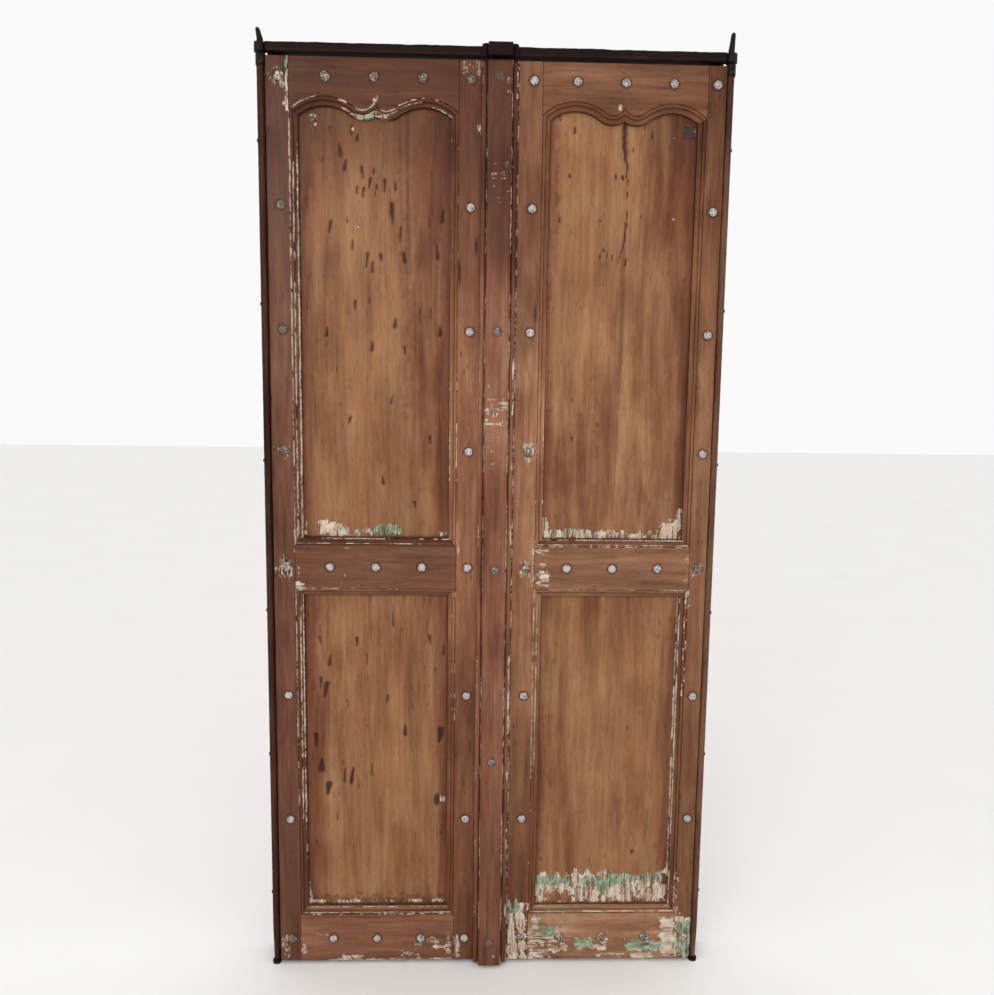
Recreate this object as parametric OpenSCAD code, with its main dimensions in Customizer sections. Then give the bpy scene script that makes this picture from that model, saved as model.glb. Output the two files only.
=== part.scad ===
// Pair of panelled door leaves that turn on pivot poles in a light timber frame.
// X runs across the doorway, the front faces -Y and Z is up.
// The origin is on the ground, at the middle of the frame's width and depth.

/* [Overall] */
// Width over the two pivot poles
overall_w = 915; // [800:1:1080]
// Height of each leaf
leaf_h = 1844; // [1540:1:2160]
// Thickness of each leaf
leaf_t = 38; // [36:1:46]
// Gap between the two leaves where they meet
meeting_gap = 3.5; // [3:0.5:6]
// Place of the meeting line, across from the middle
meeting_x = -10; // [-14:1:0]
// Height of the leaves' feet above the ground
foot_gap = 8; // [7.5:0.5:16]

/* [Stiles] */
// Face width of the left leaf's hanging stile
left_hanging_w = 43; // [34:1:60]
// Face width of the right leaf's hanging stile
right_hanging_w = 35; // [29:1:60]
// Face width of the left leaf's meeting stile
left_meeting_w = 60; // [50:1:80]
// Face width of the right leaf's meeting stile
right_meeting_w = 96; // [80:1:116]

/* [Rails] */
// Face height of the bottom rail
bottom_rail_h = 105; // [80:1:150]
// Face height of the middle rail
middle_rail_h = 88; // [70:1:120]
// Height of the middle rail's lower edge above the leaf's foot
middle_rail_z = 817; // [650:1:990]
// Length of the tenons that enter the hanging stiles
hanging_tenon_l = 24; // [15:1:26]
// Length of the tenons that enter the meeting stiles
meeting_tenon_l = 40; // [20:1:46]
// Step in from each edge of a rail to the edge of its tenon
tenon_step = 15; // [8:1:20]

/* [Arched top rail] */
// Depth of the top rail where the arch springs
spring_drop = 98; // [84:1:120]
// Depth of the top rail over the crown of each lobe
crown_drop = 71; // [60:1:82]
// Depth of the top rail at the rounded drop beside the middle
dip_drop = 95; // [86:1:110]
// Radius of the rounded drops
dip_r = 25; // [22:1:32]
// Distance of the rounded drops from the middle of the opening
dip_x = 23; // [12:1:24]

/* [Mouldings and panels] */
// Width of the moulded edge around each opening
stick_w = 16; // [14:1:20]
// Width of the moulding's outer step
quirk_w = 6; // [4:1:9]
// Depth of the moulding's outer step below the face
quirk_drop = 3; // [1:0.5:5]
// Depth of the moulding's inner step below the face
bead_drop = 10; // [6:0.5:13]
// Depth of the panels' faces below the leaf's face
panel_recess = 18; // [15:0.5:20]
// Width of the groove that holds the panels
groove_t = 12; // [8:0.5:13]
// Depth of the groove behind the moulded edge
groove_d = 13; // [8:1:13]

/* [Pivot poles] */
// Diameter of the poles at the outer edges
pole_d = 15; // [15:0.5:20]
// Depth of the poles' axes behind the leaf's face
pole_y = 9.5; // [9.5:0.5:14]
// Gap between the left pole and the face of its stile
left_pole_gap = 2.5; // [0.8:0.1:4]
// Gap between the right pole and the face of its stile
right_pole_gap = 0.8; // [0.8:0.1:4]
// Height over which the foot of a pole tapers
pole_taper_h = 69; // [30:1:100]
// Diameter of a pole's foot
pole_foot_d = 11; // [10.5:0.5:12.5]
// Height of a pole's top above the leaf
pole_rise = 5; // [2:0.5:6]
// Height of the iron ferrule around a pole's top
ferrule_h = 23; // [12:1:40]
// Wall of the ferrule
ferrule_t = 2.5; // [1.5:0.5:3]

/* [Pivot irons] */
// Diameter of the top pins
top_pin_d = 12; // [10:0.5:14]
// Diameter of the bottom pins
bottom_pin_d = 8; // [7.5:0.5:10]
// Diameter of the tangs that enter the poles
tang_d = 6; // [4:0.5:6.5]
// Length of the tangs
tang_l = 65; // [40:1:90]
// Diameter of the top pins' bent tips
tip_d = 9; // [7:0.5:10]
// Length of the left pin's bent tip
left_tip_l = 21; // [10:1:40]
// Length of the right pin's bent tip
right_tip_l = 33; // [10:1:45]
// Outward lean of the left tip, in degrees
left_tip_lean = 13; // [0:1:14]
// Outward lean of the right tip, in degrees
right_tip_lean = 5; // [0:1:9]
// Radial play of the pins in their bores
pin_play = 0.05; // [0.02:0.01:0.1]
// Outer diameter of the iron eyes
eye_d = 23; // [21:0.5:25]
// Width of the eyes' tails
eye_tail_w = 16; // [10:1:18]
// Thickness of the eyes' tails
eye_tail_t = 4; // [2:0.5:6]
// Reach of the eyes' tails from the pivot
eye_tail_l = 74; // [50:1:110]
// Thickness of the heel plates
heel_t = 6; // [4:0.5:6.5]
// Width of the heel plates
heel_w = 18; // [16:0.5:24]

/* [Frame] */
// Thickness of the head plank
head_t = 17; // [15:1:24]
// Gap between the leaves and the head plank
head_gap = 7; // [6.5:0.5:12]
// How far the head plank stands in front of the leaves
head_proud = 5; // [2:0.5:8]
// Width of each jamb
jamb_w = 45; // [38:1:60]
// Depth of each jamb
jamb_d = 40; // [34:1:60]
// Gap between the closed leaves and the jambs behind them
jamb_gap = 1; // [1:0.5:3]
// Width of the jambs' through tenons
jamb_tenon_w = 16; // [10:1:20]
// Depth of the jambs' through tenons
jamb_tenon_d = 22; // [14:1:26]

/* [Astragal and boss] */
// Place of the astragal's middle, across from the middle
astragal_x = 5.5; // [2:0.5:8]
// Width of the astragal's flat middle
astragal_flat_w = 47; // [40:1:56]
// Width of each bead beside the flat
astragal_side_w = 11.5; // [9:0.5:14]
// How far the astragal's flat stands in front of the leaves
astragal_proud = 22; // [18:1:26]
// How far the beads stand in front of the leaves
astragal_side_proud = 11.5; // [8:0.5:14]
// Gap between the leaf's top and the astragal's top
astragal_top_gap = 6; // [2:1:12]
// Clearance behind the part of the astragal that laps the other leaf
lap_gap = 0.5; // [0.3:0.1:1]
// How far the boss on the head stands in front of the leaves
boss_proud = 27; // [27:1:32]
// Height of the boss
boss_h = 24; // [18:1:34]
// How far the boss hangs below the head plank
boss_hang = 6; // [0:0.5:6]

/* [Studs and nails] */
// Diameter of the domed stud heads
stud_d = 19.5; // [14:0.5:22]
// Height of the stud heads
stud_h = 4.5; // [3:0.5:4.5]
// Diameter of the studs' shanks
stud_shank_d = 4; // [3:0.5:5]
// Depth of the studs' shanks in the wood
stud_shank_l = 26; // [15:1:30]
// Height of the lowest row of studs above the leaf's foot
stud_foot_z = 51; // [40:1:60]
// Depth of the top row of studs below the leaf's top
stud_top_drop = 36; // [28:1:44]
// Spacing of the three studs on each rail
rail_stud_pitch = 93; // [60:1:100]
// Distance of the hanging stiles' studs from the stile's inner edge
hanging_stud_in = 17.5; // [13:0.5:20]
// Distance of the left meeting stile's studs from its inner edge
left_meeting_stud_in = 23.5; // [14:0.5:28]
// Distance of the right meeting stile's studs from its inner edge
right_meeting_stud_in = 17; // [14:0.5:30]
// Diameter of the nail shanks
nail_d = 3; // [2:0.5:3.5]
// Side of the square nail head on the left panel
left_square = 15; // [10:1:18]
// Side of the square nail head on the right panel
right_square = 24; // [12:1:26]
// Thickness of the square nail heads
square_t = 2; // [1:0.5:3]
// Drop of the left square nail's middle below the arch's springing
left_square_drop = 8; // [7:1:40]
// Drop of the right square nail's middle below the arch's springing
right_square_drop = 22; // [21:1:50]
// Gap between the left square nail and the moulding beside it
left_square_gap = 20.5; // [1:0.5:40]
// Gap between the right square nail and the moulding beside it
right_square_gap = 2; // [1:0.5:40]

/* [Hidden] */
$fn = 64;

past = 1;              // how far a cut runs past the solid it cuts
seat_gap = 0.3;        // clearance of a loose round seat
hole_gap = 0.1;        // radial clearance of a driven shank or tang
panel_side_gap = 0.3;  // clearance on each side of a panel in its groove
panel_edge_gap = 1;    // room for a panel to swell in its groove
arc_steps = 14;        // straight pieces in each arc of the arch
collar_t = 1.5;        // thickness of the bottom pin's collar
knee_swell = 0.5;      // how much thicker the top pins are where they bend
nail_head_t = 1;       // thickness of a nail's flat head
nail_head_d = 6.5;     // diameter of a nail's flat head
pole_nail_l = 26;      // reach of a pole's nails
pole_nail_count = 6;   // nails along each pole
short_nail_l = 11;     // reach of the nails in the head plank
heel_nail_l = 34;      // reach of the nails in the jambs' feet
dowel_d = 8;           // diameter of the boss's dowels
dowel_l = 32;          // length of the boss's dowels
square_shank_l = 9;    // reach of the square nails
eye_nail_shares = [0.35, 0.8];  // places of an eye's nails, as shares of its tail's free length

pole_x = pole_d / 2;
ferrule_d = pole_d + 2 * ferrule_t;
ferrule_z = leaf_h + pole_rise - ferrule_h;
head_z = foot_gap + leaf_h + head_gap;
jamb_y = leaf_t + jamb_gap;
back_y = jamb_y + jamb_d;
front_y = -max(boss_proud, astragal_proud + stud_h);
face_y = -(front_y + back_y) / 2;
half_w = overall_w / 2;
head_end_x = pole_x + eye_d / 2 + seat_gap;
head_half_w = half_w - head_end_x;
stud_r = stud_d / 2;
stud_ball_r = (stud_r * stud_r + stud_h * stud_h) / (2 * stud_h);
panel_t = groove_t - 2 * panel_side_gap;
panel_inset = stick_w - groove_d + panel_edge_gap;

// One leaf: hanging stile, meeting stile, pole gap, width to the meeting edge, meeting stud inset,
// square nail's side, gap and drop
LEFT = [left_hanging_w, left_meeting_w, left_pole_gap,
        half_w + meeting_x - meeting_gap / 2, left_meeting_stud_in,
        left_square, left_square_gap, left_square_drop];
RIGHT = [right_hanging_w, right_meeting_w, right_pole_gap,
         half_w - meeting_x - meeting_gap / 2, right_meeting_stud_in,
         right_square, right_square_gap, right_square_drop];

function stile_x(leaf) = pole_d + leaf[2];
function leaf_edge(leaf) = leaf[3];
function near_x(leaf) = stile_x(leaf) + leaf[0];
function far_x(leaf) = leaf_edge(leaf) - leaf[1];
function square_x(leaf) = near_x(leaf) + stick_w + leaf[6] + leaf[5] / 2;
function square_z(leaf) = leaf_h - spring_drop - leaf[7];
function opening_mid(leaf) = (near_x(leaf) + far_x(leaf)) / 2;
function opening_half(leaf) = (far_x(leaf) - near_x(leaf)) / 2;

// The arch: each lobe is an arc that starts at the springing and runs on into a rounded drop.
spring_rise = spring_drop - crown_drop;
dip_rise = dip_drop - crown_drop;
dip_z = leaf_h - dip_drop + dip_r;
function crown_x(half) =
    let (k = dip_rise / spring_rise,
         a = 1 - k,
         b = 2 * (k * half - dip_x),
         c = dip_x * dip_x - k * half * half - dip_rise * (spring_rise - dip_rise + 2 * dip_r))
    abs(a) < 0.000001 ? -c / b : (sqrt(b * b - 4 * a * c) - b) / (2 * a);
function lobe_r(half) =
    (pow(half - crown_x(half), 2) + spring_rise * spring_rise) / (2 * spring_rise);
function lobe_z(half) = leaf_h - crown_drop - lobe_r(half);
function arc(x, z, r, from, to) =
    [for (i = [0:arc_steps]) let (t = from + (to - from) * i / arc_steps) [x + r * cos(t), z + r * sin(t)]];
// Height of the arch's end where the moulding is this far in from the face
function spring_z(half, inset) =
    lobe_z(half) + sqrt(pow(lobe_r(half) - inset, 2) - pow(half - inset - crown_x(half), 2));
function half_arch(half, inset) =
    let (p = crown_x(half),
         r = lobe_r(half) - inset,
         drop_r = dip_r + inset,
         join = atan2(dip_z - lobe_z(half), dip_x - p))
    concat(
        arc(p, lobe_z(half), r, acos((half - inset - p) / r), join),
        arc(dip_x, dip_z, drop_r, join - 180, -acos(-min(dip_x / drop_r, 1)))
    );
function flipped(points) = [for (i = [len(points) - 1:-1:0]) [-points[i][0], points[i][1]]];

// Rows of studs and tenons
middle_stud_z = middle_rail_z + middle_rail_h / 2;
top_stud_z = leaf_h - stud_top_drop;
rail_stud_rows = [stud_foot_z, middle_stud_z, top_stud_z];
lower_pitch = (middle_stud_z - stud_foot_z) / 3;
upper_pitch = (top_stud_z - middle_stud_z) / 4;
stile_stud_rows = concat(
    [for (i = [0:3]) stud_foot_z + i * lower_pitch],
    [for (i = [1:4]) middle_stud_z + i * upper_pitch]
);
astragal_stud_rows = [
    stud_foot_z, (stud_foot_z + middle_stud_z) / 2, middle_stud_z,
    (middle_stud_z + top_stud_z) / 2, top_stud_z
];
tenon_spans = [
    [tenon_step, bottom_rail_h - tenon_step],
    [middle_rail_z + tenon_step, middle_rail_z + middle_rail_h - tenon_step],
    [leaf_h - spring_drop + tenon_step, leaf_h - tenon_step]
];
function hanging_stud_x(leaf) = near_x(leaf) - hanging_stud_in;
function meeting_stud_x(leaf) = far_x(leaf) + leaf[4];
function stud_places(leaf) = concat(
    [for (z = stile_stud_rows) [hanging_stud_x(leaf), z]],
    [for (z = stile_stud_rows) [meeting_stud_x(leaf), z]],
    [for (z = rail_stud_rows, k = [-1:1]) [opening_mid(leaf) + k * rail_stud_pitch, z]]
);
pole_nail_rows = [for (i = [1:pole_nail_count]) leaf_h * (i - 0.5) / pole_nail_count];

// ---- Placing ----

// From a leaf's own corner, at its outer edge, face and foot, to the row's frame
module as_left() { translate([-half_w, face_y, foot_gap]) children(); }
module as_right() { translate([half_w, face_y, foot_gap]) mirror([1, 0, 0]) children(); }
// The same height and face, but measured across from the middle
module from_middle() { translate([0, face_y, foot_gap]) children(); }
module from_ground() { translate([0, face_y, 0]) children(); }

// A flat shape in X and Z, made solid between two depths
module along_y(y0, y1) {
    translate([0, y1, 0]) rotate([90, 0, 0]) linear_extrude(y1 - y0) children();
}

// ---- Leaf blank ----

module upper_opening(leaf, inset) {
    half = opening_half(leaf);
    right = half_arch(half, inset);
    low = middle_rail_z + middle_rail_h + inset;
    translate([opening_mid(leaf), 0])
        polygon(concat([[half - inset, low]], right, flipped(right), [[inset - half, low]]));
}

module lower_opening(leaf, inset) {
    translate([near_x(leaf) + inset, bottom_rail_h + inset])
        square([2 * (opening_half(leaf) - inset), middle_rail_z - bottom_rail_h - 2 * inset]);
}

module both_openings(leaf, inset, y0, y1) {
    along_y(y0, y1) upper_opening(leaf, inset);
    along_y(y0, y1) lower_opening(leaf, inset);
}

// A whole leaf's frame before it is parted into stiles and rails
module leaf_blank(leaf) {
    groove_y1 = panel_recess + groove_t;
    difference() {
        translate([stile_x(leaf), 0, 0]) cube([leaf_edge(leaf) - stile_x(leaf), leaf_t, leaf_h]);
        both_openings(leaf, stick_w, -past, leaf_t + past);
        both_openings(leaf, quirk_w, -past, bead_drop);
        both_openings(leaf, 0, -past, quirk_drop);
        both_openings(leaf, stick_w - groove_d, panel_recess, groove_y1);
        stud_holes(leaf);
    }
}

module stud_holes(leaf) {
    for (p = stud_places(leaf))
        translate([p[0], -past, p[1]]) rotate([-90, 0, 0])
            cylinder(d = stud_shank_d + 2 * hole_gap, h = stud_shank_l + past + seat_gap);
}

// Mitres run from the face corner of an opening to the corner of its moulding.
module hanging_stile_outline(leaf) {
    x = near_x(leaf);
    m = x + stick_w;
    half = opening_half(leaf);
    polygon([
        [stile_x(leaf), 0], [x, 0],
        [x, bottom_rail_h], [m, bottom_rail_h + stick_w],
        [m, middle_rail_z - stick_w], [x, middle_rail_z],
        [x, middle_rail_z + middle_rail_h], [m, middle_rail_z + middle_rail_h + stick_w],
        [m, spring_z(half, stick_w)], [x, spring_z(half, 0)],
        [x, leaf_h], [stile_x(leaf), leaf_h]
    ]);
}

module meeting_stile_outline(leaf) {
    x = far_x(leaf);
    m = x - stick_w;
    half = opening_half(leaf);
    polygon([
        [leaf_edge(leaf), 0], [leaf_edge(leaf), leaf_h], [x, leaf_h],
        [x, spring_z(half, 0)], [m, spring_z(half, stick_w)],
        [m, middle_rail_z + middle_rail_h + stick_w], [x, middle_rail_z + middle_rail_h],
        [x, middle_rail_z], [m, middle_rail_z - stick_w],
        [m, bottom_rail_h + stick_w], [x, bottom_rail_h],
        [x, 0]
    ]);
}

module bottom_rail_outline(leaf) {
    x0 = near_x(leaf);
    x1 = far_x(leaf);
    top = bottom_rail_h + stick_w;
    polygon([
        [x0, 0], [x1, 0], [x1, bottom_rail_h],
        [x1 - stick_w, top], [x0 + stick_w, top], [x0, bottom_rail_h]
    ]);
}

module middle_rail_outline(leaf) {
    x0 = near_x(leaf);
    x1 = far_x(leaf);
    low = middle_rail_z;
    high = middle_rail_z + middle_rail_h;
    polygon([
        [x0, low], [x0 + stick_w, low - stick_w], [x1 - stick_w, low - stick_w], [x1, low],
        [x1, high], [x1 - stick_w, high + stick_w], [x0 + stick_w, high + stick_w], [x0, high]
    ]);
}

module top_rail_outline(leaf) {
    half = opening_half(leaf);
    mid = opening_mid(leaf);
    below_dips = leaf_h - dip_drop - 3 * stick_w;  // clear of the moulding under the drops
    translate([mid, 0]) polygon([
        [-half, leaf_h], [-half, spring_z(half, 0)], [stick_w - half, spring_z(half, stick_w)],
        [0, below_dips],
        [half - stick_w, spring_z(half, stick_w)], [half, spring_z(half, 0)], [half, leaf_h]
    ]);
}

module tenon(x0, x1, span) {
    translate([x0, panel_recess, span[0]]) cube([x1 - x0, groove_t, span[1] - span[0]]);
}

// ---- Leaf pieces, in a leaf's own corner ----

module hanging_stile(leaf) {
    back_d = leaf_t - pole_y;
    difference() {
        union() {
            intersection() {
                leaf_blank(leaf);
                along_y(0, leaf_t) hanging_stile_outline(leaf);
            }
            translate([pole_x, pole_y, 0]) cube([stile_x(leaf) - pole_x, back_d, leaf_h]);
        }
        translate([pole_x, pole_y, -past]) cylinder(d = pole_d + 2 * seat_gap, h = leaf_h + 2 * past);
        translate([pole_x, pole_y, ferrule_z - seat_gap])
            cylinder(d = ferrule_d + 2 * seat_gap, h = ferrule_h + past);
        for (span = tenon_spans)
            tenon(near_x(leaf) - hanging_tenon_l - panel_edge_gap, near_x(leaf), span);
        pole_nail_holes();
    }
}

module meeting_stile(leaf) {
    difference() {
        intersection() {
            leaf_blank(leaf);
            along_y(0, leaf_t) meeting_stile_outline(leaf);
        }
        for (span = tenon_spans)
            tenon(far_x(leaf), far_x(leaf) + meeting_tenon_l + panel_edge_gap, span);
    }
}

// A rail: its part of the blank, with a tenon at each end
module rail(leaf, span) {
    intersection() {
        leaf_blank(leaf);
        along_y(0, leaf_t) children();
    }
    difference() {
        union() {
            tenon(near_x(leaf) - hanging_tenon_l, near_x(leaf), span);
            tenon(far_x(leaf), far_x(leaf) + meeting_tenon_l, span);
        }
        stud_holes(leaf);
    }
}

module top_rail(leaf) { rail(leaf, tenon_spans[2]) top_rail_outline(leaf); }
module middle_rail(leaf) { rail(leaf, tenon_spans[1]) middle_rail_outline(leaf); }
module bottom_rail(leaf) { rail(leaf, tenon_spans[0]) bottom_rail_outline(leaf); }

module upper_panel(leaf) {
    y0 = panel_recess + panel_side_gap;
    difference() {
        along_y(y0, y0 + panel_t) upper_opening(leaf, panel_inset);
        translate([square_x(leaf), y0 - past, square_z(leaf)]) rotate([-90, 0, 0])
            cylinder(d = nail_d + 2 * hole_gap, h = square_shank_l + past + seat_gap);
    }
}

module lower_panel(leaf) {
    y0 = panel_recess + panel_side_gap;
    along_y(y0, y0 + panel_t) lower_opening(leaf, panel_inset);
}

module square_nail(leaf) {
    y0 = panel_recess + panel_side_gap;
    side = leaf[5];
    translate([square_x(leaf), y0, square_z(leaf)]) {
        translate([-side / 2, -square_t, -side / 2]) cube([side, square_t, side]);
        rotate([-90, 0, 0]) cylinder(d = nail_d, h = square_shank_l);
    }
}

// A domed stud whose head seats on the face at y = 0
module stud(shank) {
    rotate([90, 0, 0]) rotate_extrude() {
        intersection() {
            translate([0, stud_h - stud_ball_r]) circle(stud_ball_r);
            square([stud_r, stud_h]);
        }
        translate([0, -shank]) square([stud_shank_d / 2, shank]);
    }
}

module leaf_studs(leaf) {
    for (p = stud_places(leaf)) translate([p[0], 0, p[1]]) stud(stud_shank_l);
}

// ---- Pivot pieces, in a leaf's own corner ----

module at_pivot() { translate([pole_x, pole_y, 0]) children(); }

module pivot_pole() {
    shaft_h = leaf_h + pole_rise - pole_taper_h;
    difference() {
        at_pivot() {
            cylinder(d1 = pole_foot_d, d2 = pole_d, h = pole_taper_h);
            translate([0, 0, pole_taper_h]) cylinder(d = pole_d, h = shaft_h);
        }
        at_pivot() tang_hole(0, 1);
        at_pivot() tang_hole(leaf_h + pole_rise, -1);
        pole_nail_holes();
    }
}

// A hole that runs from an end of the pole inwards
module tang_hole(z, way) {
    translate([0, 0, z - past + (way < 0 ? past - tang_l - seat_gap : 0)])
        cylinder(d = tang_d + 2 * hole_gap, h = tang_l + seat_gap + past + (way < 0 ? past : 0));
}

module pole_nail_holes() {
    for (z = pole_nail_rows)
        translate([-past, pole_y, z]) rotate([0, 90, 0])
            cylinder(d = nail_d + 2 * hole_gap, h = pole_nail_l + past + seat_gap);
}

module pole_nails() {
    for (z = pole_nail_rows)
        translate([0, pole_y, z]) rotate([0, 90, 0]) {
            cylinder(d = nail_d, h = pole_nail_l);
            translate([0, 0, -nail_head_t]) cylinder(d = nail_head_d, h = nail_head_t);
        }
}

module ferrule() {
    at_pivot() translate([0, 0, ferrule_z]) difference() {
        cylinder(d = ferrule_d, h = ferrule_h);
        translate([0, 0, -past]) cylinder(d = pole_d + 2 * hole_gap, h = ferrule_h + 2 * past);
    }
}

// The tip is bent outwards above the eye, about a forged knee that is a little thicker than the pin.
module top_pin(tip_l, lean) {
    pole_top = leaf_h + pole_rise;
    knee_r = top_pin_d / 2 + knee_swell;
    knee_z = leaf_h + head_gap + head_t + knee_r + seat_gap;
    at_pivot() {
        translate([0, 0, pole_top - tang_l]) cylinder(d = tang_d, h = tang_l);
        translate([0, 0, pole_top]) cylinder(d = top_pin_d, h = knee_z - pole_top);
        translate([0, 0, knee_z]) {
            sphere(knee_r);
            rotate([0, -lean, 0]) cylinder(d1 = top_pin_d, d2 = tip_d, h = tip_l);
        }
    }
}

module bottom_pin() {
    at_pivot() {
        cylinder(d = tang_d, h = tang_l);
        translate([0, 0, -collar_t]) cylinder(d = pole_foot_d, h = collar_t);
        translate([0, 0, seat_gap - foot_gap]) cylinder(d = bottom_pin_d, h = foot_gap - seat_gap);
    }
}

// ---- Frame pieces, from a corner at the outer edge, the face and the ground ----

module jamb() {
    tenon_x = (jamb_w + head_end_x - jamb_tenon_w) / 2;
    tenon_y = jamb_y + (jamb_d - jamb_tenon_d) / 2;
    difference() {
        union() {
            translate([0, jamb_y, 0]) cube([jamb_w, jamb_d, head_z]);
            translate([tenon_x, tenon_y, head_z]) cube([jamb_tenon_w, jamb_tenon_d, head_t]);
        }
        heel_plate_body();
        heel_nail_holes();
    }
}

module heel_plate_body() {
    at_pivot() {
        cylinder(d = heel_w, h = heel_t);
        translate([-pole_x, 0, 0]) cube([pole_x + heel_w / 2, back_y - pole_y, heel_t]);
    }
}

module heel_plate() {
    difference() {
        heel_plate_body();
        at_pivot() translate([0, 0, -past])
            cylinder(d = bottom_pin_d + 2 * pin_play, h = heel_t + 2 * past);
        heel_nail_holes();
    }
}

module heel_nail_places() {
    for (y = [jamb_y + jamb_d / 4, jamb_y + 3 * jamb_d / 4]) translate([pole_x, y, 0]) children();
}
module heel_nail_holes() {
    heel_nail_places() translate([0, 0, -past])
        cylinder(d = nail_d + 2 * hole_gap, h = heel_nail_l + past + seat_gap);
}
module heel_nail_pair() { heel_nail_places() cylinder(d = nail_d, h = heel_nail_l); }

module eye_body() {
    at_pivot() translate([0, 0, head_z + seat_gap]) cylinder(d = eye_d, h = head_t - seat_gap);
    translate([pole_x, pole_y - eye_tail_w / 2, head_z + head_t - eye_tail_t])
        cube([eye_tail_l, eye_tail_w, eye_tail_t]);
}

module eye() {
    difference() {
        eye_body();
        at_pivot() translate([0, 0, head_z - past])
            cylinder(d = top_pin_d + 2 * pin_play, h = head_t + 2 * past);
        eye_nail_holes();
    }
}

module eye_nail_places() {
    free = eye_tail_l - eye_d / 2;
    for (k = eye_nail_shares)
        translate([pole_x + eye_d / 2 + free * k, pole_y, head_z + head_t]) children();
}
module eye_nail_holes() {
    eye_nail_places() translate([0, 0, -short_nail_l - seat_gap])
        cylinder(d = nail_d + 2 * hole_gap, h = short_nail_l + seat_gap + past);
}
module eye_nail_pair() {
    eye_nail_places() {
        translate([0, 0, -short_nail_l]) cylinder(d = nail_d, h = short_nail_l);
        cylinder(d = nail_head_d, h = nail_head_t);
    }
}

module both_sides() {
    translate([-half_w, 0, 0]) children();
    translate([half_w, 0, 0]) mirror([1, 0, 0]) children();
}

// ---- Nodes of the frame ----

module head_plank() {
    color("#2d2623") from_ground() difference() {
        translate([-head_half_w, -head_proud, head_z])
            cube([2 * head_half_w, back_y + head_proud, head_t]);
        both_sides() jamb();
        both_sides() eye_body();
        both_sides() eye_nail_holes();
        boss_dowel_pair(hole_gap);
    }
}

// Plan of the astragal and of the boss: a flat between two beads
module moulded_plan(flat_proud, side_proud) {
    side_x = (astragal_flat_w + astragal_side_w) / 2;
    bead_r = astragal_side_w / 2;
    translate([-astragal_flat_w / 2, -flat_proud]) square([astragal_flat_w, flat_proud]);
    for (s = [-1, 1]) translate([s * side_x, 0]) {
        translate([-bead_r, bead_r - side_proud]) square([2 * bead_r, side_proud - bead_r]);
        translate([0, bead_r - side_proud]) circle(bead_r);
    }
}

module head_boss() {
    step = boss_proud - astragal_proud;
    color("#2f2825") from_ground() difference() {
        translate([astragal_x, 0, head_z - boss_hang]) linear_extrude(boss_h)
            moulded_plan(boss_proud, astragal_side_proud + step);
        translate([-half_w, -head_proud, 0]) cube([overall_w, back_y, head_z + 2 * head_t]);
        boss_dowel_pair(hole_gap);
    }
}

module boss_dowel_pair(gap) {
    for (s = [-1, 1])
        translate([astragal_x + s * astragal_flat_w / 4, -head_proud - dowel_l / 2, head_z + head_t / 2])
            rotate([-90, 0, 0]) translate([0, 0, -gap]) cylinder(d = dowel_d + 2 * gap, h = dowel_l + 2 * gap);
}

module boss_dowels() { color("#5a3a26") from_ground() boss_dowel_pair(0); }

module left_jamb() { color("#4a3529") from_ground() translate([-half_w, 0, 0]) jamb(); }
module right_jamb() {
    color("#4a3529") from_ground() translate([half_w, 0, 0]) mirror([1, 0, 0]) jamb();
}
module left_pivot_eye() { color("#3a3633") from_ground() translate([-half_w, 0, 0]) eye(); }
module right_pivot_eye() {
    color("#4c4742") from_ground() translate([half_w, 0, 0]) mirror([1, 0, 0]) eye();
}
module left_heel_plate() { color("#3a3633") from_ground() translate([-half_w, 0, 0]) heel_plate(); }
module right_heel_plate() {
    color("#3a3633") from_ground() translate([half_w, 0, 0]) mirror([1, 0, 0]) heel_plate();
}
module eye_nails() { color("#4c4742") from_ground() both_sides() eye_nail_pair(); }
module heel_nails() { color("#4c4742") from_ground() both_sides() heel_nail_pair(); }

// ---- Nodes of the left leaf ----

module left_pivot_pole() { color("#48322a") as_left() pivot_pole(); }
module left_ferrule() { color("#4c4742") as_left() ferrule(); }
module left_top_pin() { color("#35322c") as_left() top_pin(left_tip_l, left_tip_lean); }
module left_bottom_pin() { color("#4c4742") as_left() bottom_pin(); }
module left_pole_nails() { color("#4c4742") as_left() pole_nails(); }
module left_hanging_stile() { color("#69463e") as_left() hanging_stile(LEFT); }
module left_meeting_stile() { color("#7d523c") as_left() meeting_stile(LEFT); }
module left_top_rail() { color("#6d4a37") as_left() top_rail(LEFT); }
module left_middle_rail() { color("#7d523c") as_left() middle_rail(LEFT); }
module left_bottom_rail() { color("#765039") as_left() bottom_rail(LEFT); }
module left_upper_panel() { color("#966e46") as_left() upper_panel(LEFT); }
module left_lower_panel() { color("#8a5f3c") as_left() lower_panel(LEFT); }
module left_studs() { color("#a8a29b") as_left() leaf_studs(LEFT); }
module left_square_nail() { color("#b8a890") as_left() square_nail(LEFT); }

// ---- Nodes of the right leaf ----

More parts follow.
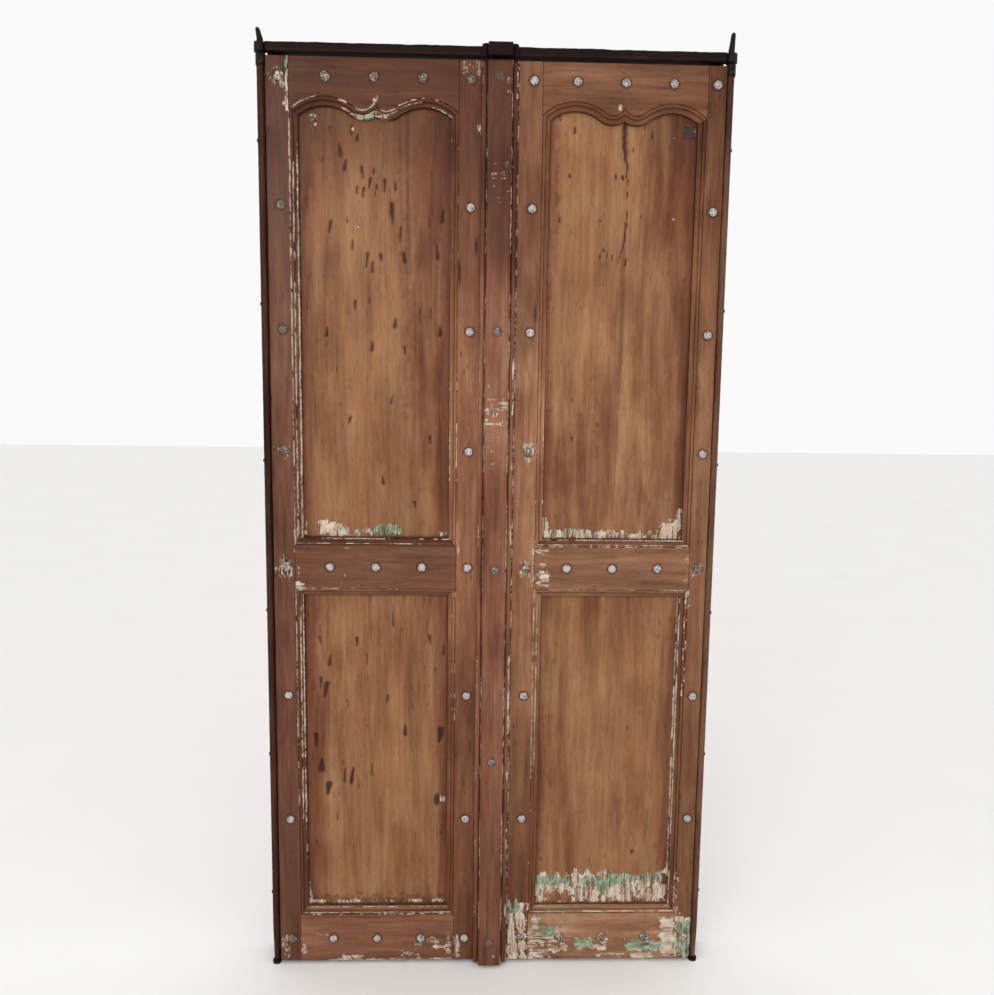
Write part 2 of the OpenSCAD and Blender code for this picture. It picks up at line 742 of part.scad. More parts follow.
module right_pivot_pole() { color("#5a4234") as_right() pivot_pole(); }
module right_ferrule() { color("#4c4742") as_right() ferrule(); }
module right_top_pin() { color("#35322c") as_right() top_pin(right_tip_l, right_tip_lean); }
module right_bottom_pin() { color("#4c4742") as_right() bottom_pin(); }
module right_pole_nails() { color("#4c4742") as_right() pole_nails(); }
module right_hanging_stile() { color("#80563f") as_right() hanging_stile(RIGHT); }
module right_meeting_stile() {
    color("#825840") difference() {
        as_right() meeting_stile(RIGHT);
        from_middle() astragal_shank_holes();
    }
}
module right_top_rail() { color("#7a523c") as_right() top_rail(RIGHT); }
module right_middle_rail() { color("#7d543e") as_right() middle_rail(RIGHT); }
module right_bottom_rail() { color("#7c563c") as_right() bottom_rail(RIGHT); }
module right_upper_panel() { color("#8f6442") as_right() upper_panel(RIGHT); }
module right_lower_panel() { color("#8a5c3e") as_right() lower_panel(RIGHT); }
module right_studs() { color("#a8a29b") as_right() leaf_studs(RIGHT); }
module right_square_nail() { color("#46393a") as_right() square_nail(RIGHT); }

// The astragal is fixed to the right leaf and laps the left one.
module astragal() {
    length = leaf_h - astragal_top_gap;
    lap_x = meeting_x + meeting_gap / 2;
    color("#6d4840") from_middle() difference() {
        translate([astragal_x, 0, 0]) linear_extrude(length)
            moulded_plan(astragal_proud, astragal_side_proud);
        translate([lap_x - overall_w, -lap_gap, -past]) cube([overall_w, leaf_t, length + 2 * past]);
        astragal_shank_holes();
    }
}

module astragal_shank_holes() {
    for (z = astragal_stud_rows)
        translate([astragal_x, -astragal_proud - past, z]) rotate([-90, 0, 0])
            cylinder(d = stud_shank_d + 2 * hole_gap, h = astragal_proud + past + stud_shank_l + seat_gap);
}

module astragal_studs() {
    color("#8f7a68") from_middle() for (z = astragal_stud_rows)
        translate([astragal_x, -astragal_proud, z]) stud(astragal_proud + stud_shank_l);
}

head_plank();
head_boss();
boss_dowels();
left_jamb();
right_jamb();
left_pivot_eye();
right_pivot_eye();
eye_nails();
left_heel_plate();
right_heel_plate();
heel_nails();
left_pivot_pole();
left_ferrule();
left_top_pin();
left_bottom_pin();
left_pole_nails();
left_hanging_stile();
left_meeting_stile();
left_top_rail();
left_middle_rail();
left_bottom_rail();
left_upper_panel();
left_lower_panel();
left_studs();
left_square_nail();
right_pivot_pole();
right_ferrule();
right_top_pin();
right_bottom_pin();
right_pole_nails();
right_hanging_stile();
right_meeting_stile();
right_top_rail();
right_middle_rail();
right_bottom_rail();
right_upper_panel();
right_lower_panel();
right_studs();
right_square_nail();
astragal();
astragal_studs();
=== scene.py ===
import math
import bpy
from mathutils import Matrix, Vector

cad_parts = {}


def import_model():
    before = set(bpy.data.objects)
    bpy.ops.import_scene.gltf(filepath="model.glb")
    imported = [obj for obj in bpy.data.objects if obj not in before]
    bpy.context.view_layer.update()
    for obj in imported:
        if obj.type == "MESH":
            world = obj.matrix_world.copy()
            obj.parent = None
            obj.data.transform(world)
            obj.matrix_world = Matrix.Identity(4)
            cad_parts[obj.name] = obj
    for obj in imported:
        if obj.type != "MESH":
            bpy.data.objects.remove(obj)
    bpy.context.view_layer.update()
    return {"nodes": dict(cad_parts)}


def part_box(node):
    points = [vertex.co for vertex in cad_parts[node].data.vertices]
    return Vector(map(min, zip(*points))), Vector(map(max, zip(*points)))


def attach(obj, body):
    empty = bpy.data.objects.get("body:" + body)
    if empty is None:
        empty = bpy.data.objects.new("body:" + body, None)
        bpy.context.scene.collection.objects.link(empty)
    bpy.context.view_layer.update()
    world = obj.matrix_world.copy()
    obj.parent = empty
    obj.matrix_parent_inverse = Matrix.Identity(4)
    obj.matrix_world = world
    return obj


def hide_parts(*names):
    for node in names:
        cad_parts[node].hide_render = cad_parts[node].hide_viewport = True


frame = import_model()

from types import SimpleNamespace

import bpy
import numpy as np
from mathutils import Matrix, Vector

# The door is described in millimetres: x across from the middle, z up from the leaves' feet, and
# depth back from the leaves' faces. A leaf's own u runs inwards from its outer edge.
MM = 0.001

# ---- Sizes that repeat the part's own ----
STICK_W = 16.0
PANEL_RECESS = 18.3
PANEL_T = 11.4
SPRING_DROP = 98.0
CROWN_DROP = 71.0
DIP_DROP = 95.0
DIP_R = 25.0
DIP_X = 23.0
POLE_AXIS_DEPTH = 9.5
ASTRAGAL_FLAT_W = 47.0
ASTRAGAL_SIDE_W = 11.5
STUD_R = 9.75
STUD_H = 4.5
RAIL_STUD_PITCH = 93.0
SQUARE_T = 2.0


def box_mm(node):
    """A node's lowest and highest corner as (x, depth, z) in the door's millimetres."""
    low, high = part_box(node)
    return [
        np.array([p.x / MM, (p.y - FACE_Y) / MM, (p.z - FOOT_Z) / MM]) for p in (low, high)
    ]


FACE_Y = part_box("left_meeting_stile")[0].y
FOOT_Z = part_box("left_meeting_stile")[0].z
LEAF_H = box_mm("left_meeting_stile")[1][2]
LEAF_T = box_mm("left_meeting_stile")[1][1]
BOTTOM_H = box_mm("left_bottom_rail")[1][2] - STICK_W
MIDDLE_Z = box_mm("left_middle_rail")[0][2] + STICK_W
MIDDLE_TOP = box_mm("left_middle_rail")[1][2] - STICK_W
HALF_W = -box_mm("left_pivot_pole")[0][0]
POLE_D = box_mm("left_pivot_pole")[1][0] + HALF_W


def leaf_sizes(side, pole_gap):
    """A leaf's names and the places, in its own u, of its stiles' edges."""
    name = "left" if side < 0 else "right"
    hanging = box_mm(name + "_hanging_stile")
    meeting = box_mm(name + "_meeting_stile")
    inner, outer = (1, 0) if side < 0 else (0, 1)
    return SimpleNamespace(
        name=name,
        body=name + "_leaf",
        side=side,
        stile=POLE_D + pole_gap,
        near=HALF_W - side * hanging[inner][0] - STICK_W,
        far=HALF_W - side * meeting[outer][0] + STICK_W,
        edge=HALF_W - side * meeting[inner][0],
        pole_x=side * (HALF_W - POLE_D / 2),
    )


LEFT = leaf_sizes(-1, 2.5)
RIGHT = leaf_sizes(1, 0.8)


def across(leaf, u):
    """x of a place in a leaf's own u."""
    return leaf.side * (HALF_W - u)


def world(x, depth, z):
    """Millimetres of the door to metres of the frame, as one array of points."""
    x, depth, z = np.broadcast_arrays(np.asarray(x, float), depth, z)
    return np.stack([x * MM, FACE_Y + depth * MM, FOOT_Z + z * MM], axis=-1)


# ---- Noise and marks ----


def lattice(i, j, seed):
    """One random number from 0 to 1 for each lattice point."""
    value = np.sin(i * 127.1 + j * 311.7 + seed * 74.7) * 43758.5453
    return value - np.floor(value)


def noise(x, z, seed):
    """Smooth value noise from 0 to 1 with one lattice cell per unit."""
    i, j = np.floor(x), np.floor(z)
    fx, fz = x - i, z - j
    fx, fz = fx * fx * (3 - 2 * fx), fz * fz * (3 - 2 * fz)
    low = lattice(i, j, seed) * (1 - fx) + lattice(i + 1, j, seed) * fx
    high = lattice(i, j + 1, seed) * (1 - fx) + lattice(i + 1, j + 1, seed) * fx
    return low * (1 - fz) + high * fz


def rough_noise(x, z, seed):
    """Three octaves of noise, from 0 to 1."""
    return (
        noise(x, z, seed) * 0.55
        + noise(x * 2.1, z * 2.1, seed + 1) * 0.3
        + noise(x * 4.3, z * 4.3, seed + 2) * 0.15
    )


def step(x, low, high):
    """0 below low, 1 above high and smooth between."""
    t = np.clip((x - low) / (high - low), 0, 1)
    return t * t * (3 - 2 * t)


def band(x, low, high, soft):
    """1 between low and high, with soft ends."""
    return step(x, low - soft, low + soft) * (1 - step(x, high - soft, high + soft))


def patch(x, z, x0, x1, z0, z1, soft, ragged, seed, strength=1.0):
    """A rectangle with ragged, soft edges."""
    dx = (rough_noise(x / 9 + 31, z / 9, seed) - 0.5) * 2 * ragged
    dz = (rough_noise(x / 9, z / 9 + 57, seed + 5) - 0.5) * 2 * ragged
    return band(x + dx, x0, x1, soft) * band(z + dz, z0, z1, soft) * strength


def blot(x, z, cx, cz, w, h, strength=1.0, lean=0.0):
    """A rounded mark of half width w and half height h, leaning by a share of its height."""
    dx = (x - cx - lean * (z - cz)) / w
    dz = (z - cz) / h
    return np.exp(-np.power(dx * dx + dz * dz, 1.5)) * strength


def teardrop(x, z, cx, cz, w, h):
    """A gouge along the grain, pointed at one end. Its place sets which end, its lean and its bite."""
    way = 1 if math.sin(cx * 7.3 + cz) > -0.4 else -1
    lean = 0.16 * math.sin(cx * 1.9 + cz * 0.7)
    bite = 0.78 + 0.2 * math.sin(cx * 3.1 + cz * 2.3)
    t = 0.5 + way * (z - cz) / (2 * h)
    width = w * np.clip(1.3 - t, 0.2, 1.1)
    off = np.abs(x - cx - lean * (z - cz)) / width
    return bite * np.exp(-np.power(off, 2.0)) * band(t, 0.1, 0.9, 0.14)


def union(*fields):
    """The strongest of several fields at each point."""
    out = fields[0]
    for f in fields[1:]:
        out = np.maximum(out, f)
    return out


# ---- Solids from grids ----


def make_mesh(name, points, faces, smooth, fields):
    """One mesh piece from points in metres. fields are numbers for each point."""
    keys = np.round(points * 1e7).astype(np.int64)
    _, first, back = np.unique(keys, axis=0, return_index=True, return_inverse=True)
    back = back.reshape(-1)
    kept, flags = [], []
    for face, is_smooth in zip(faces, smooth):
        merged = back[face].tolist()
        merged = [v for k, v in enumerate(merged) if v != merged[k - 1]]
        if len(set(merged)) >= 3 and len(set(merged)) == len(merged):
            kept.append(merged)
            flags.append(is_smooth)
    mesh = bpy.data.meshes.new(name)
    mesh.from_pydata(points[first].tolist(), [], kept)
    mesh.polygons.foreach_set("use_smooth", np.array(flags, bool))
    for key, values in fields.items():
        layer = mesh.attributes.new(key, "FLOAT", "POINT")
        layer.data.foreach_set("value", np.asarray(values, np.float32)[first])
    mesh.update()
    piece = bpy.data.objects.new(name, mesh)
    bpy.context.scene.collection.objects.link(piece)
    return piece


def grid_faces(index, closed=False):
    """Quads over a grid of point numbers. Closed grids join their last column to their first."""
    if closed:
        index = np.concatenate([index, index[:, :1]], axis=1)
    quads = np.stack([index[:-1, :-1], index[:-1, 1:], index[1:, 1:], index[1:, :-1]], -1)
    return quads.reshape(-1, 4)


def front_solid(name, front, back_depth, fields, back=(0, -1)):
    """A closed solid: a modelled front, plain sides and a flat back. Rows of front are its stations,
    and back names the columns that are repeated on the back face. The back is never painted."""
    rows, cols = front.shape[:2]
    index = np.arange(rows * cols).reshape(rows, cols)
    columns = [c % cols for c in back]
    rear = front[:, columns].copy()
    rear[:, :, 1] = FACE_Y + back_depth * MM
    behind = rows * cols + np.arange(rows * len(columns)).reshape(rows, -1)
    points = np.concatenate([front.reshape(-1, 3), rear.reshape(-1, 3)])
    quads = grid_faces(index)
    faces = list(quads)
    smooth = [True] * len(faces)
    for i in range(rows - 1):
        for k in range(len(columns) - 1):
            faces.append(np.array([behind[i, k], behind[i + 1, k], behind[i + 1, k + 1], behind[i, k + 1]]))
        faces.append(np.array([index[i, 0], index[i + 1, 0], behind[i + 1, 0], behind[i, 0]]))
        faces.append(np.array([index[i, -1], behind[i, -1], behind[i + 1, -1], index[i + 1, -1]]))
    for k, (low, high) in enumerate(zip(columns, columns[1:])):
        faces.append(np.concatenate([index[0, low : high + 1][::-1], [behind[0, k], behind[0, k + 1]]]))
        faces.append(np.concatenate([index[-1, low : high + 1], [behind[-1, k + 1], behind[-1, k]]]))
    smooth += [False] * (len(faces) - len(smooth))
    a, b, c = (points[np.array(quads)[:, k]] for k in (0, 1, 2))
    if np.cross(b - a, c - a)[:, 1].sum() > 0:
        faces = [f[::-1] for f in faces]
    full = {}
    for key, value in fields.items():
        value = np.broadcast_to(value, (rows, cols))
        full[key] = np.concatenate([value.reshape(-1), np.zeros(behind.size)])
    return make_mesh(name, points, faces, smooth, full)


def ring_solid(name, rings, fields=None):
    """A closed solid through a row of closed rings, with flat ends."""
    rows, cols = rings.shape[:2]
    index = np.arange(rows * cols).reshape(rows, cols)
    faces = list(grid_faces(index, closed=True))
    smooth = [True] * len(faces)
    faces += [index[0, ::-1], index[-1]]
    smooth += [False, False]
    points = rings.reshape(-1, 3)
    middle = rings[rows // 2 : rows // 2 + 2]
    out = np.cross(middle[0, 1] - middle[0, 0], middle[1, 0] - middle[0, 0])
    if np.dot(out, middle[0, 0] - middle[0].mean(axis=0)) < 0:
        faces = [f[::-1] for f in faces]
    full = {k: np.broadcast_to(v, (rows, cols)).reshape(-1) for k, v in (fields or {}).items()}
    return make_mesh(name, points, faces, smooth, full)


def spaced(low, high, pitch, extra=()):
    """Even stations between two ends that also pass through the extra places."""
    count = max(2, int(round((high - low) / pitch)) + 1)
    even = np.linspace(low, high, count)
    extra = np.array([e for e in extra if low < e < high])
    if len(extra):
        near = np.abs(even[:, None] - extra[None, :]).min(axis=1) < 0.35 * pitch
        near[[0, -1]] = False
        even = np.sort(np.concatenate([even[~near], extra]))
    return even


def ended(low, high, pitch, close=(0, 0.5, 1.2, 2.2), margin=4, extra=()):
    """Stations between two ends, with closer ones at each end."""
    inner = spaced(low + margin, high - margin, pitch, extra)
    return np.concatenate([[low + c for c in close], inner, [high - c for c in close[::-1]]])


# ---- Relief of worn wood ----

PROFILE_T = [0, 0.5, 1.3, 2.0, 3.0, 4.3, 5.6, 6.6, 7.3, 8.2, 9.6, 11.2, 12.8, 13.4, 14.6, 15.4, 16]
PROFILE_D = [0, 2.0, 2.9, 2.7, 1.6, 1.0, 1.3, 2.4, 4.0, 5.8, 7.6, 9.0, 9.8, 9.2, 9.0, 9.4, 10.2]
STICK_T = np.array(PROFILE_T)


def moulding_depth(t):
    """Depth of the moulding below the face, at a distance t into it."""
    return np.interp(t, PROFILE_T, PROFILE_D)


def rounded(distance, radius):
    """How far a worn arris falls below the face at a distance from the edge."""
    d = np.clip(1 - distance / radius, 0, 1)
    return radius * (1 - np.sqrt(1 - d * d))


def worn(x, z, seed, along_z=True):
    """Gentle unevenness of an old planed face, with ridges along the grain."""
    a, b = (x, z) if along_z else (z, x)
    return (
        (noise(a / 34, b / 160, seed) - 0.5) * 0.9
        + (noise(a / 5.5, b / 70, seed + 9) - 0.5) * 0.35
        + (noise(a / 2.6, b / 26, seed + 17) - 0.5) * 0.22
    )


def random_marks(seed, count, x0, x1, z0, z1, width, height):
    """Seeded places and sizes of small dents."""
    r = np.random.default_rng(seed)
    return [
        (r.uniform(x0, x1), r.uniform(z0, z1), r.uniform(*width), r.uniform(*height))
        for _ in range(count)
    ]


# ---- Arch of the upper openings ----


def crown_x(half):
    """How far from the middle of an opening its arch is highest."""
    spring_rise, dip_rise = SPRING_DROP - CROWN_DROP, DIP_DROP - CROWN_DROP
    k = dip_rise / spring_rise
    a, b = 1 - k, 2 * (k * half - DIP_X)
    c = DIP_X**2 - k * half**2 - dip_rise * (spring_rise - dip_rise + 2 * DIP_R)
    return (math.sqrt(b * b - 4 * a * c) - b) / (2 * a)


def arch_lobe(half):
    """Centre (x, z) and radius of the lobe beside the springing."""
    rise = SPRING_DROP - CROWN_DROP
    x = crown_x(half)
    r = ((half - x) ** 2 + rise**2) / (2 * rise)
    return x, LEAF_H - CROWN_DROP - r, r


def spring_z(half, inset):
    """Height at which the arch meets the upright moulding."""
    x, z, r = arch_lobe(half)
    return z + math.sqrt((r - inset) ** 2 - (half - inset - x) ** 2)


def arch_points(half, inset, steps):
    """The arch from springing to springing, as offsets from the middle of the opening."""
    x, z, lobe = arch_lobe(half)
    dip_z = LEAF_H - DIP_DROP + DIP_R
    join = math.atan2(dip_z - z, DIP_X - x)
    r, drop = lobe - inset, DIP_R + inset
    first = np.linspace(math.acos((half - inset - x) / r), join, steps[0])
    last = np.linspace(join - math.pi, -math.acos(-min(DIP_X / drop, 1)), steps[1])[1:]
    px = np.concatenate([x + r * np.cos(first), DIP_X + drop * np.cos(last)])
    pz = np.concatenate([z + r * np.sin(first), dip_z + drop * np.sin(last)])
    px[-1] = 0
    return np.concatenate([-px[:-1], px[::-1]]), np.concatenate([pz[:-1], pz[::-1]])


def opening(leaf):
    """Middle in u and half width of a leaf's openings."""
    return (leaf.near + leaf.far) / 2, (leaf.far - leaf.near) / 2


def moulding_corners(leaf):
    """Heights where the moulding on a stile starts and ends, and where its mitres do."""
    half = opening(leaf)[1]
    return [
        BOTTOM_H, BOTTOM_H + STICK_W, MIDDLE_Z - STICK_W, MIDDLE_Z,
        MIDDLE_TOP, MIDDLE_TOP + STICK_W, spring_z(half, STICK_W), spring_z(half, 0),
    ]


def moulding_reach(leaf, z):
    """Width of the moulding on a stile at each height: none beside the rails, mitred at their corners."""
    return np.interp(z, moulding_corners(leaf), [0, STICK_W, STICK_W, 0] * 2)


# ---- Where the old paint, dirt, painted shade and dents are ----
# Each field takes x and z in the door's millimetres, and t, the distance into the nearest moulding.
# The rows of numbers are the arguments of streak, patch, blot and teardrop.

UPPER = (MIDDLE_TOP - 8, LEAF_H - SPRING_DROP + 22, 4)
LOWER = (BOTTOM_H - 12, MIDDLE_Z + 4, 4)
PANEL_FOOT = MIDDLE_TOP + STICK_W


def broken(along, seed, share, length=26.0):
    """A broken line: 1 where the paint still holds."""
    held = noise(along / length, seed, seed) * 0.65 + noise(along / (length / 5), 0, seed + 3) * 0.35
    return step(held, 1 - share - 0.08, 1 - share + 0.08)


def lines(t, places, width=0.9):
    """Thin lines along a moulding, at one or more places across it."""
    return union(*[np.exp(-(((t - p) / width) ** 2)) for p in np.atleast_1d(places)])


def streak(t, along, places, width, seed, share, length=26.0, low=-1e4, high=1e4, soft=1.0, strength=1.0):
    """Broken lines of paint at one or more places across a moulding, from low to high along it."""
    held = broken(along, seed, share, length)
    return lines(t, places, width) * held * band(along, low, high, soft) * strength


def each(mark, a, b, *rows):
    """The union of one kind of mark at many places."""
    return union(*[mark(a, b, *row) for row in rows])


def stile_paint(leaf, x, z, t, hanging):
    """Cream left on a stile and its moulding."""
    if leaf is LEFT and hanging:
        from_stud = np.hypot(x + 419, z - 1809)
        return 0.97 * union(
            each(
                streak, t, z, (0.8, 1.2, 11, 0.75, 26, *UPPER), (0.8, 2.2, 17, 0.6, 60, 1360, 1720, 30),
                (7.2, 1.4, 12, 0.75, 60, MIDDLE_TOP, 1660, 30),
                (14.2, 2.3, 13, 0.92, 80, MIDDLE_TOP, 1690, 20),
                (0.8, 1.3, 14, 0.6, 26, 330, 815, 60), ((8.5, 13.6), 1.7, 15, 0.88, 70, 300, 800, 60),
                (14.8, 1.2, 16, 0.35, 26, 110, 500, 60)),
            each(
                patch, x, z, (-446, -404, 1790, 1850, 6, 20, 4, 0.22), (-402.5, -396, 1742, 1846, 1.5, 3, 6),
                (-436, -404, 838, 884, 4, 16, 8, 0.55), (-430, -402, 1785, 1800, 3, 12, 2, 0.5),
                (-440, -421, 4, 60, 3, 10, 9, 0.5), (-430, -405, 1075, 1110, 3, 10, 21, 0.5)),
            each(
                blot, x, z, (-394, 929, 5, 13), (-390, 888, 9, 11, 1, -0.5), (-393, 858, 4, 4),
                (-389, 846, 5, 5), (-392, 822, 6, 5), (-406, 1757, 3, 4)),
            np.exp(-(((from_stud - 13) / 3.2) ** 2)) * 0.5,
        )
    if leaf is LEFT:
        return union(
            streak(t, z, (14.6, 1.0), 1.2, 22, 0.5, 26, *UPPER) * (0.45 + 0.55 * step(z, 1420, 1000)),
            streak(t, z, (1.0, 7.4), 1.0, 23, 0.4, 26, *LOWER) * step(z, 420, 560),
            each(streak, -x - 12, z, (12, 3.0, 24, 0.4, 16, 1490, 1830, 20), (1.5, 1.3, 25, 0.3, 40)) * 0.8,
            each(
                patch, x, z, (-70, -54, 1822, 1850, 2, 8, 12, 0.7), (-70, -25, 1815, 1850, 3, 13, 13, 0.42),
                (-72, -58, 6, 60, 2, 10, 9, 0.7)),
            each(blot, x, z, (-68, 897, 3, 14), (-32, 1719, 6, 13, 0.8)),
        )
    if hanging:
        chipped = 0.4 + 0.6 * broken(z * 0.7 + x * 1.4, 16, 0.62, 22)
        return union(
            streak(t, z, 14.8, 1.3, 31, 0.3, 26, *UPPER) * step(z, 1500, 1000),
            lines(t, 15, 1.5) * (0.4 + 0.6 * broken(z, 32, 0.7, 60)) * band(z, BOTTOM_H, 830, 10),
            each(streak, t, z, (5.5, 1.3, 33, 0.4, 26, 560, 830, 30), (0.8, 1.3, 34, 0.35, 26, 560, 830, 30)),
            each(
                patch, x, z, (396, 411, 100, 190, 4, 14, 14, 0.5), (399, 409, 780, 822, 2, 6, 17, 0.7),
                (406, 440, 846, 870, 3, 14, 19, 0.55)),
            patch(x, z, 405, 446, -4, 100, 5, 16, 15) * chipped,
        )
    chipped = 0.5 + 0.5 * broken(x * 0.9 + z * 0.12, 19, 0.72, 11)
    return union(
        streak(t, z, (14.8, 1.0), 1.2, 41, 0.4, 26, *UPPER) * (0.25 + 0.75 * step(z, 1300, 950)),
        lines(t, (1.0, 7.6), 1.4) * (0.35 + 0.65 * broken(z, 42, 0.75, 60)) * band(z, 420, 822, 60),
        streak(t, z, 1.0, 1.1, 42, 0.3, 26, 110, 480, 40),
        streak(x - 40, z, 2.2, 1.6, 43, 0.62, 34),
        patch(x, z, 40, 86, -6, 134, 5, 16, 18) * chipped,
        each(
            patch, x, z, (62, 84, 1080, 1116, 4, 12, 20, 0.85), (78, 88, 824, 903, 3, 10, 22, 0.6),
            (60, 78, 838, 880, 4, 14, 27, 0.5)),
    )


def grime_and_falloff_shade(x, z):
    """Partly grime of handling and weather, partly painted shade where the light falls off: the top, the foot
    and the hanging edges are darker, and the middle heights a little lighter.
    """
    return (
        0.6 * step(z, 1450, 1800) + 0.2 * (1 - step(z, 40, 420)) + 0.1 * step(np.abs(x), 250, 450)
        - 0.1 * band(z, 700, 1350, 200)
    )


def stile_grime_and_shade(leaf, x, z, hanging):
    """The meeting stiles are rubbed bright at the height of a hand. Grime and painted shade where the light
    falls off darken the top, the foot and the hanging edges.
    """
    if hanging:
        base, rubbed = (0.2, 0.0) if leaf is LEFT else (0.36, 0.15)
    elif leaf is LEFT:
        base, rubbed = 0.3, 0.7
    else:
        base, rubbed = 0.3 - 0.5 * step(z, 1500, 1700) + 0.25 * (1 - step(z, 480, 680)), 0.75
    mottle = 0.7 * (rough_noise(x / 22, z / 70, 131) - 0.5)
    return grime_and_falloff_shade(x, z) + base - rubbed * band(z, 680, 1340, 220) + mottle


def panel_grime_and_shade(leaf, which, x, z, edge):
    """Each panel is browner along its edges. The upper ones are darkest below the arch, partly from grime and
    partly from painted shade where the light falls off.
    """
    grime_and_shade = 0.3 * (1 - step(edge, 0, 34)) + 0.3 * (rough_noise(x / 30, z / 90, 132) - 0.5)
    if which == "lower":
        return grime_and_shade + 0.1 * step(z, 700, 830)
    if leaf is LEFT:
        return grime_and_shade + 0.7 * step(z, 1560, 1720) + 0.2 * step(x, -230, -130) + 0.15 * step(-x, 330, 360)
    return grime_and_shade - 0.15 + 0.6 * step(x, 262, 300) * step(z, 1500, 1740) + 0.25 * step(x, 300, 360)


def stile_mint(leaf, x, z, t, hanging):
    """Share of mint green in the paint on a stile."""
    if leaf is LEFT and hanging:
        return union(
            patch(x, z, -403, -396, 1815, 1845, 2, 4, 7, 0.8),
            lines(t, 15.0, 2.0) * band(z, 1430, 1660, 20) * 0.75,
        )
    if leaf is LEFT:
        return patch(x, z, -72, -60, 6, 50, 3, 4, 5, 0.4)
    if hanging:
        return patch(x, z, 406, 446, 8, 92, 5, 10, 25) * (0.55 + 0.45 * noise(x / 9, z / 12, 26))
    return each(
        patch, x, z, (40, 70, 108, 140, 5, 8, 24, 0.9), (40, 52, 40, 110, 5, 8, 25, 0.5),
        (60, 80, 1085, 1106, 4, 6, 26, 0.6))


def top_rail_paint(leaf, x, z, t):
    """Cream left on a top rail and its moulding."""
    if leaf is RIGHT:
        return blot(x, z, 237, 1762, 5, 9, 0.8) + streak(t, x, 15.5, 1.2, 51, 0.16) * 0.7
    return 0.9 * union(
        each(
            streak, t, x, (0.5, 1.3, 52, 0.75, 26, -396, -330, 10), (0.8, 1.9, 53, 0.9, 26, -272, -232, 3),
            (2.0, 2.0, 54, 0.7, 26, -222, -150, 6), (1.0, 1.0, 55, 0.35, 26, -150, -74, 6),
            (7.5, 1.4, 56, 0.75, 26, -232, -140, 6), (12.5, 2.0, 57, 0.55, 26, -300, -265, 6),
            (14, 2.4, 58, 0.75, 26, -135, -82, 6)),
        lines(t, 1.5, 2.4) * band(x, -303, -285, 3),
        step(t, 6.5, 10) * band(x, -274, -205, 12) * (0.35 + 0.5 * broken(x, 59, 0.75, 9)),
        blot(x, z, -232, 1768, 5, 8, 1, 0.4),
    )


def middle_rail_paint(leaf, x, z, t):
    """Cream left on a middle rail and its mouldings."""
    upper = step(z, MIDDLE_TOP - 2, MIDDLE_TOP)
    lower = 1 - step(z, MIDDLE_Z, MIDDLE_Z + 2)
    if leaf is LEFT:
        return union(
            each(streak, t, x, (4.5, 1.1, 61, 0.52), (13.2, 1.3, 62, 0.62)) * upper,
            each(streak, t, x, (0.8, 1.3, 63, 0.8, 70, -365, -240, 9), (0.8, 0.9, 64, 0.3)) * lower,
            lines(t, 0.8, 1.8) * lower * band(x, -398, -362, 3),
            each(blot, x, z, (-294, 900, 9, 3.0, 0.9), (-300, 836, 2.2, 16, 0.75, 0.4)),
            patch(x, z, -398, -380, 812, 830, 2, 5, 8, 0.7),
            streak(x, z, -390, 2, 65, 0.4, 10) * 0.8,
        )
    return union(
        each(streak, t, x, ((4.5, 0.7), 1.1, 66, 0.55), (13.2, 1.4, 67, 0.7)) * upper,
        streak(t, x, 0.8, 1.2, 68, 0.55) * lower,
        patch(x, z, 88, 114, 824, 903, 4, 22, 23) * (0.32 + 0.4 * broken(z, 69, 0.5, 15)),
        each(blot, x, z, (108, 846, 14, 6, 0.9), (106, 869, 8, 5), (114, 826, 10, 4)),
        patch(x, z, 396, 408, 826, 890, 2, 9, 23, 0.42),
    )


def bottom_rail_paint(leaf, x, z, t):
    """Cream left on a bottom rail and its moulding."""
    if leaf is LEFT:
        return union(
            each(streak, t, x, ((4.5, 12.8), 1.3, 71, 0.58), (0.7, 1.0, 72, 0.35)),
            each(
                patch, x, z, (-374, -336, 56, 66, 3, 9, 28, 0.45), (-310, -262, 7, 13, 2, 5, 29, 0.85),
                (-160, -74, 36, 52, 4, 16, 30, 0.55), (-185, -140, 8, 24, 4, 12, 31, 0.6),
                (-118, -84, 28, 40, 3, 9, 134, 0.8), (-90, -76, 18, 60, 3, 9, 135, 0.6),
                (-340, -75, 0, 4, 2, 4, 32, 0.9), (-398, -384, 14, 40, 3, 9, 33, 0.6)),
        )
    return union(
        each(streak, t, x, (4.5, 2.2, 73, 0.66, 40), (12.8, 1.6, 74, 0.5, 40)),
        patch(x, z, 87, 135, -4, 78, 6, 18, 34) * (0.5 + 0.5 * noise(x / 8, z / 10, 4)),
        patch(x, z, 376, 408, -2, 98, 4, 11, 43) * (0.4 + 0.6 * broken(z, 75, 0.75, 13)),
        each(
            patch, x, z, (96, 120, 62, 100, 5, 12, 35, 0.85), (196, 262, 22, 33, 3, 9, 36),
            (244, 262, 34, 50, 4, 8, 36, 0.8), (130, 178, 18, 34, 3, 12, 37, 0.8),
            (240, 300, 6, 14, 2, 9, 38, 0.9), (310, 362, 0, 16, 2, 9, 39, 0.95),
            (186, 230, 28, 52, 4, 9, 40, 0.9), (300, 375, 16, 44, 5, 10, 41, 0.9),
            (330, 352, 40, 62, 4, 9, 42, 0.8), (130, 160, 40, 78, 4, 9, 44, 0.9)),
    )


RAIL_PAINT = {"top": top_rail_paint, "middle": middle_rail_paint, "bottom": bottom_rail_paint}


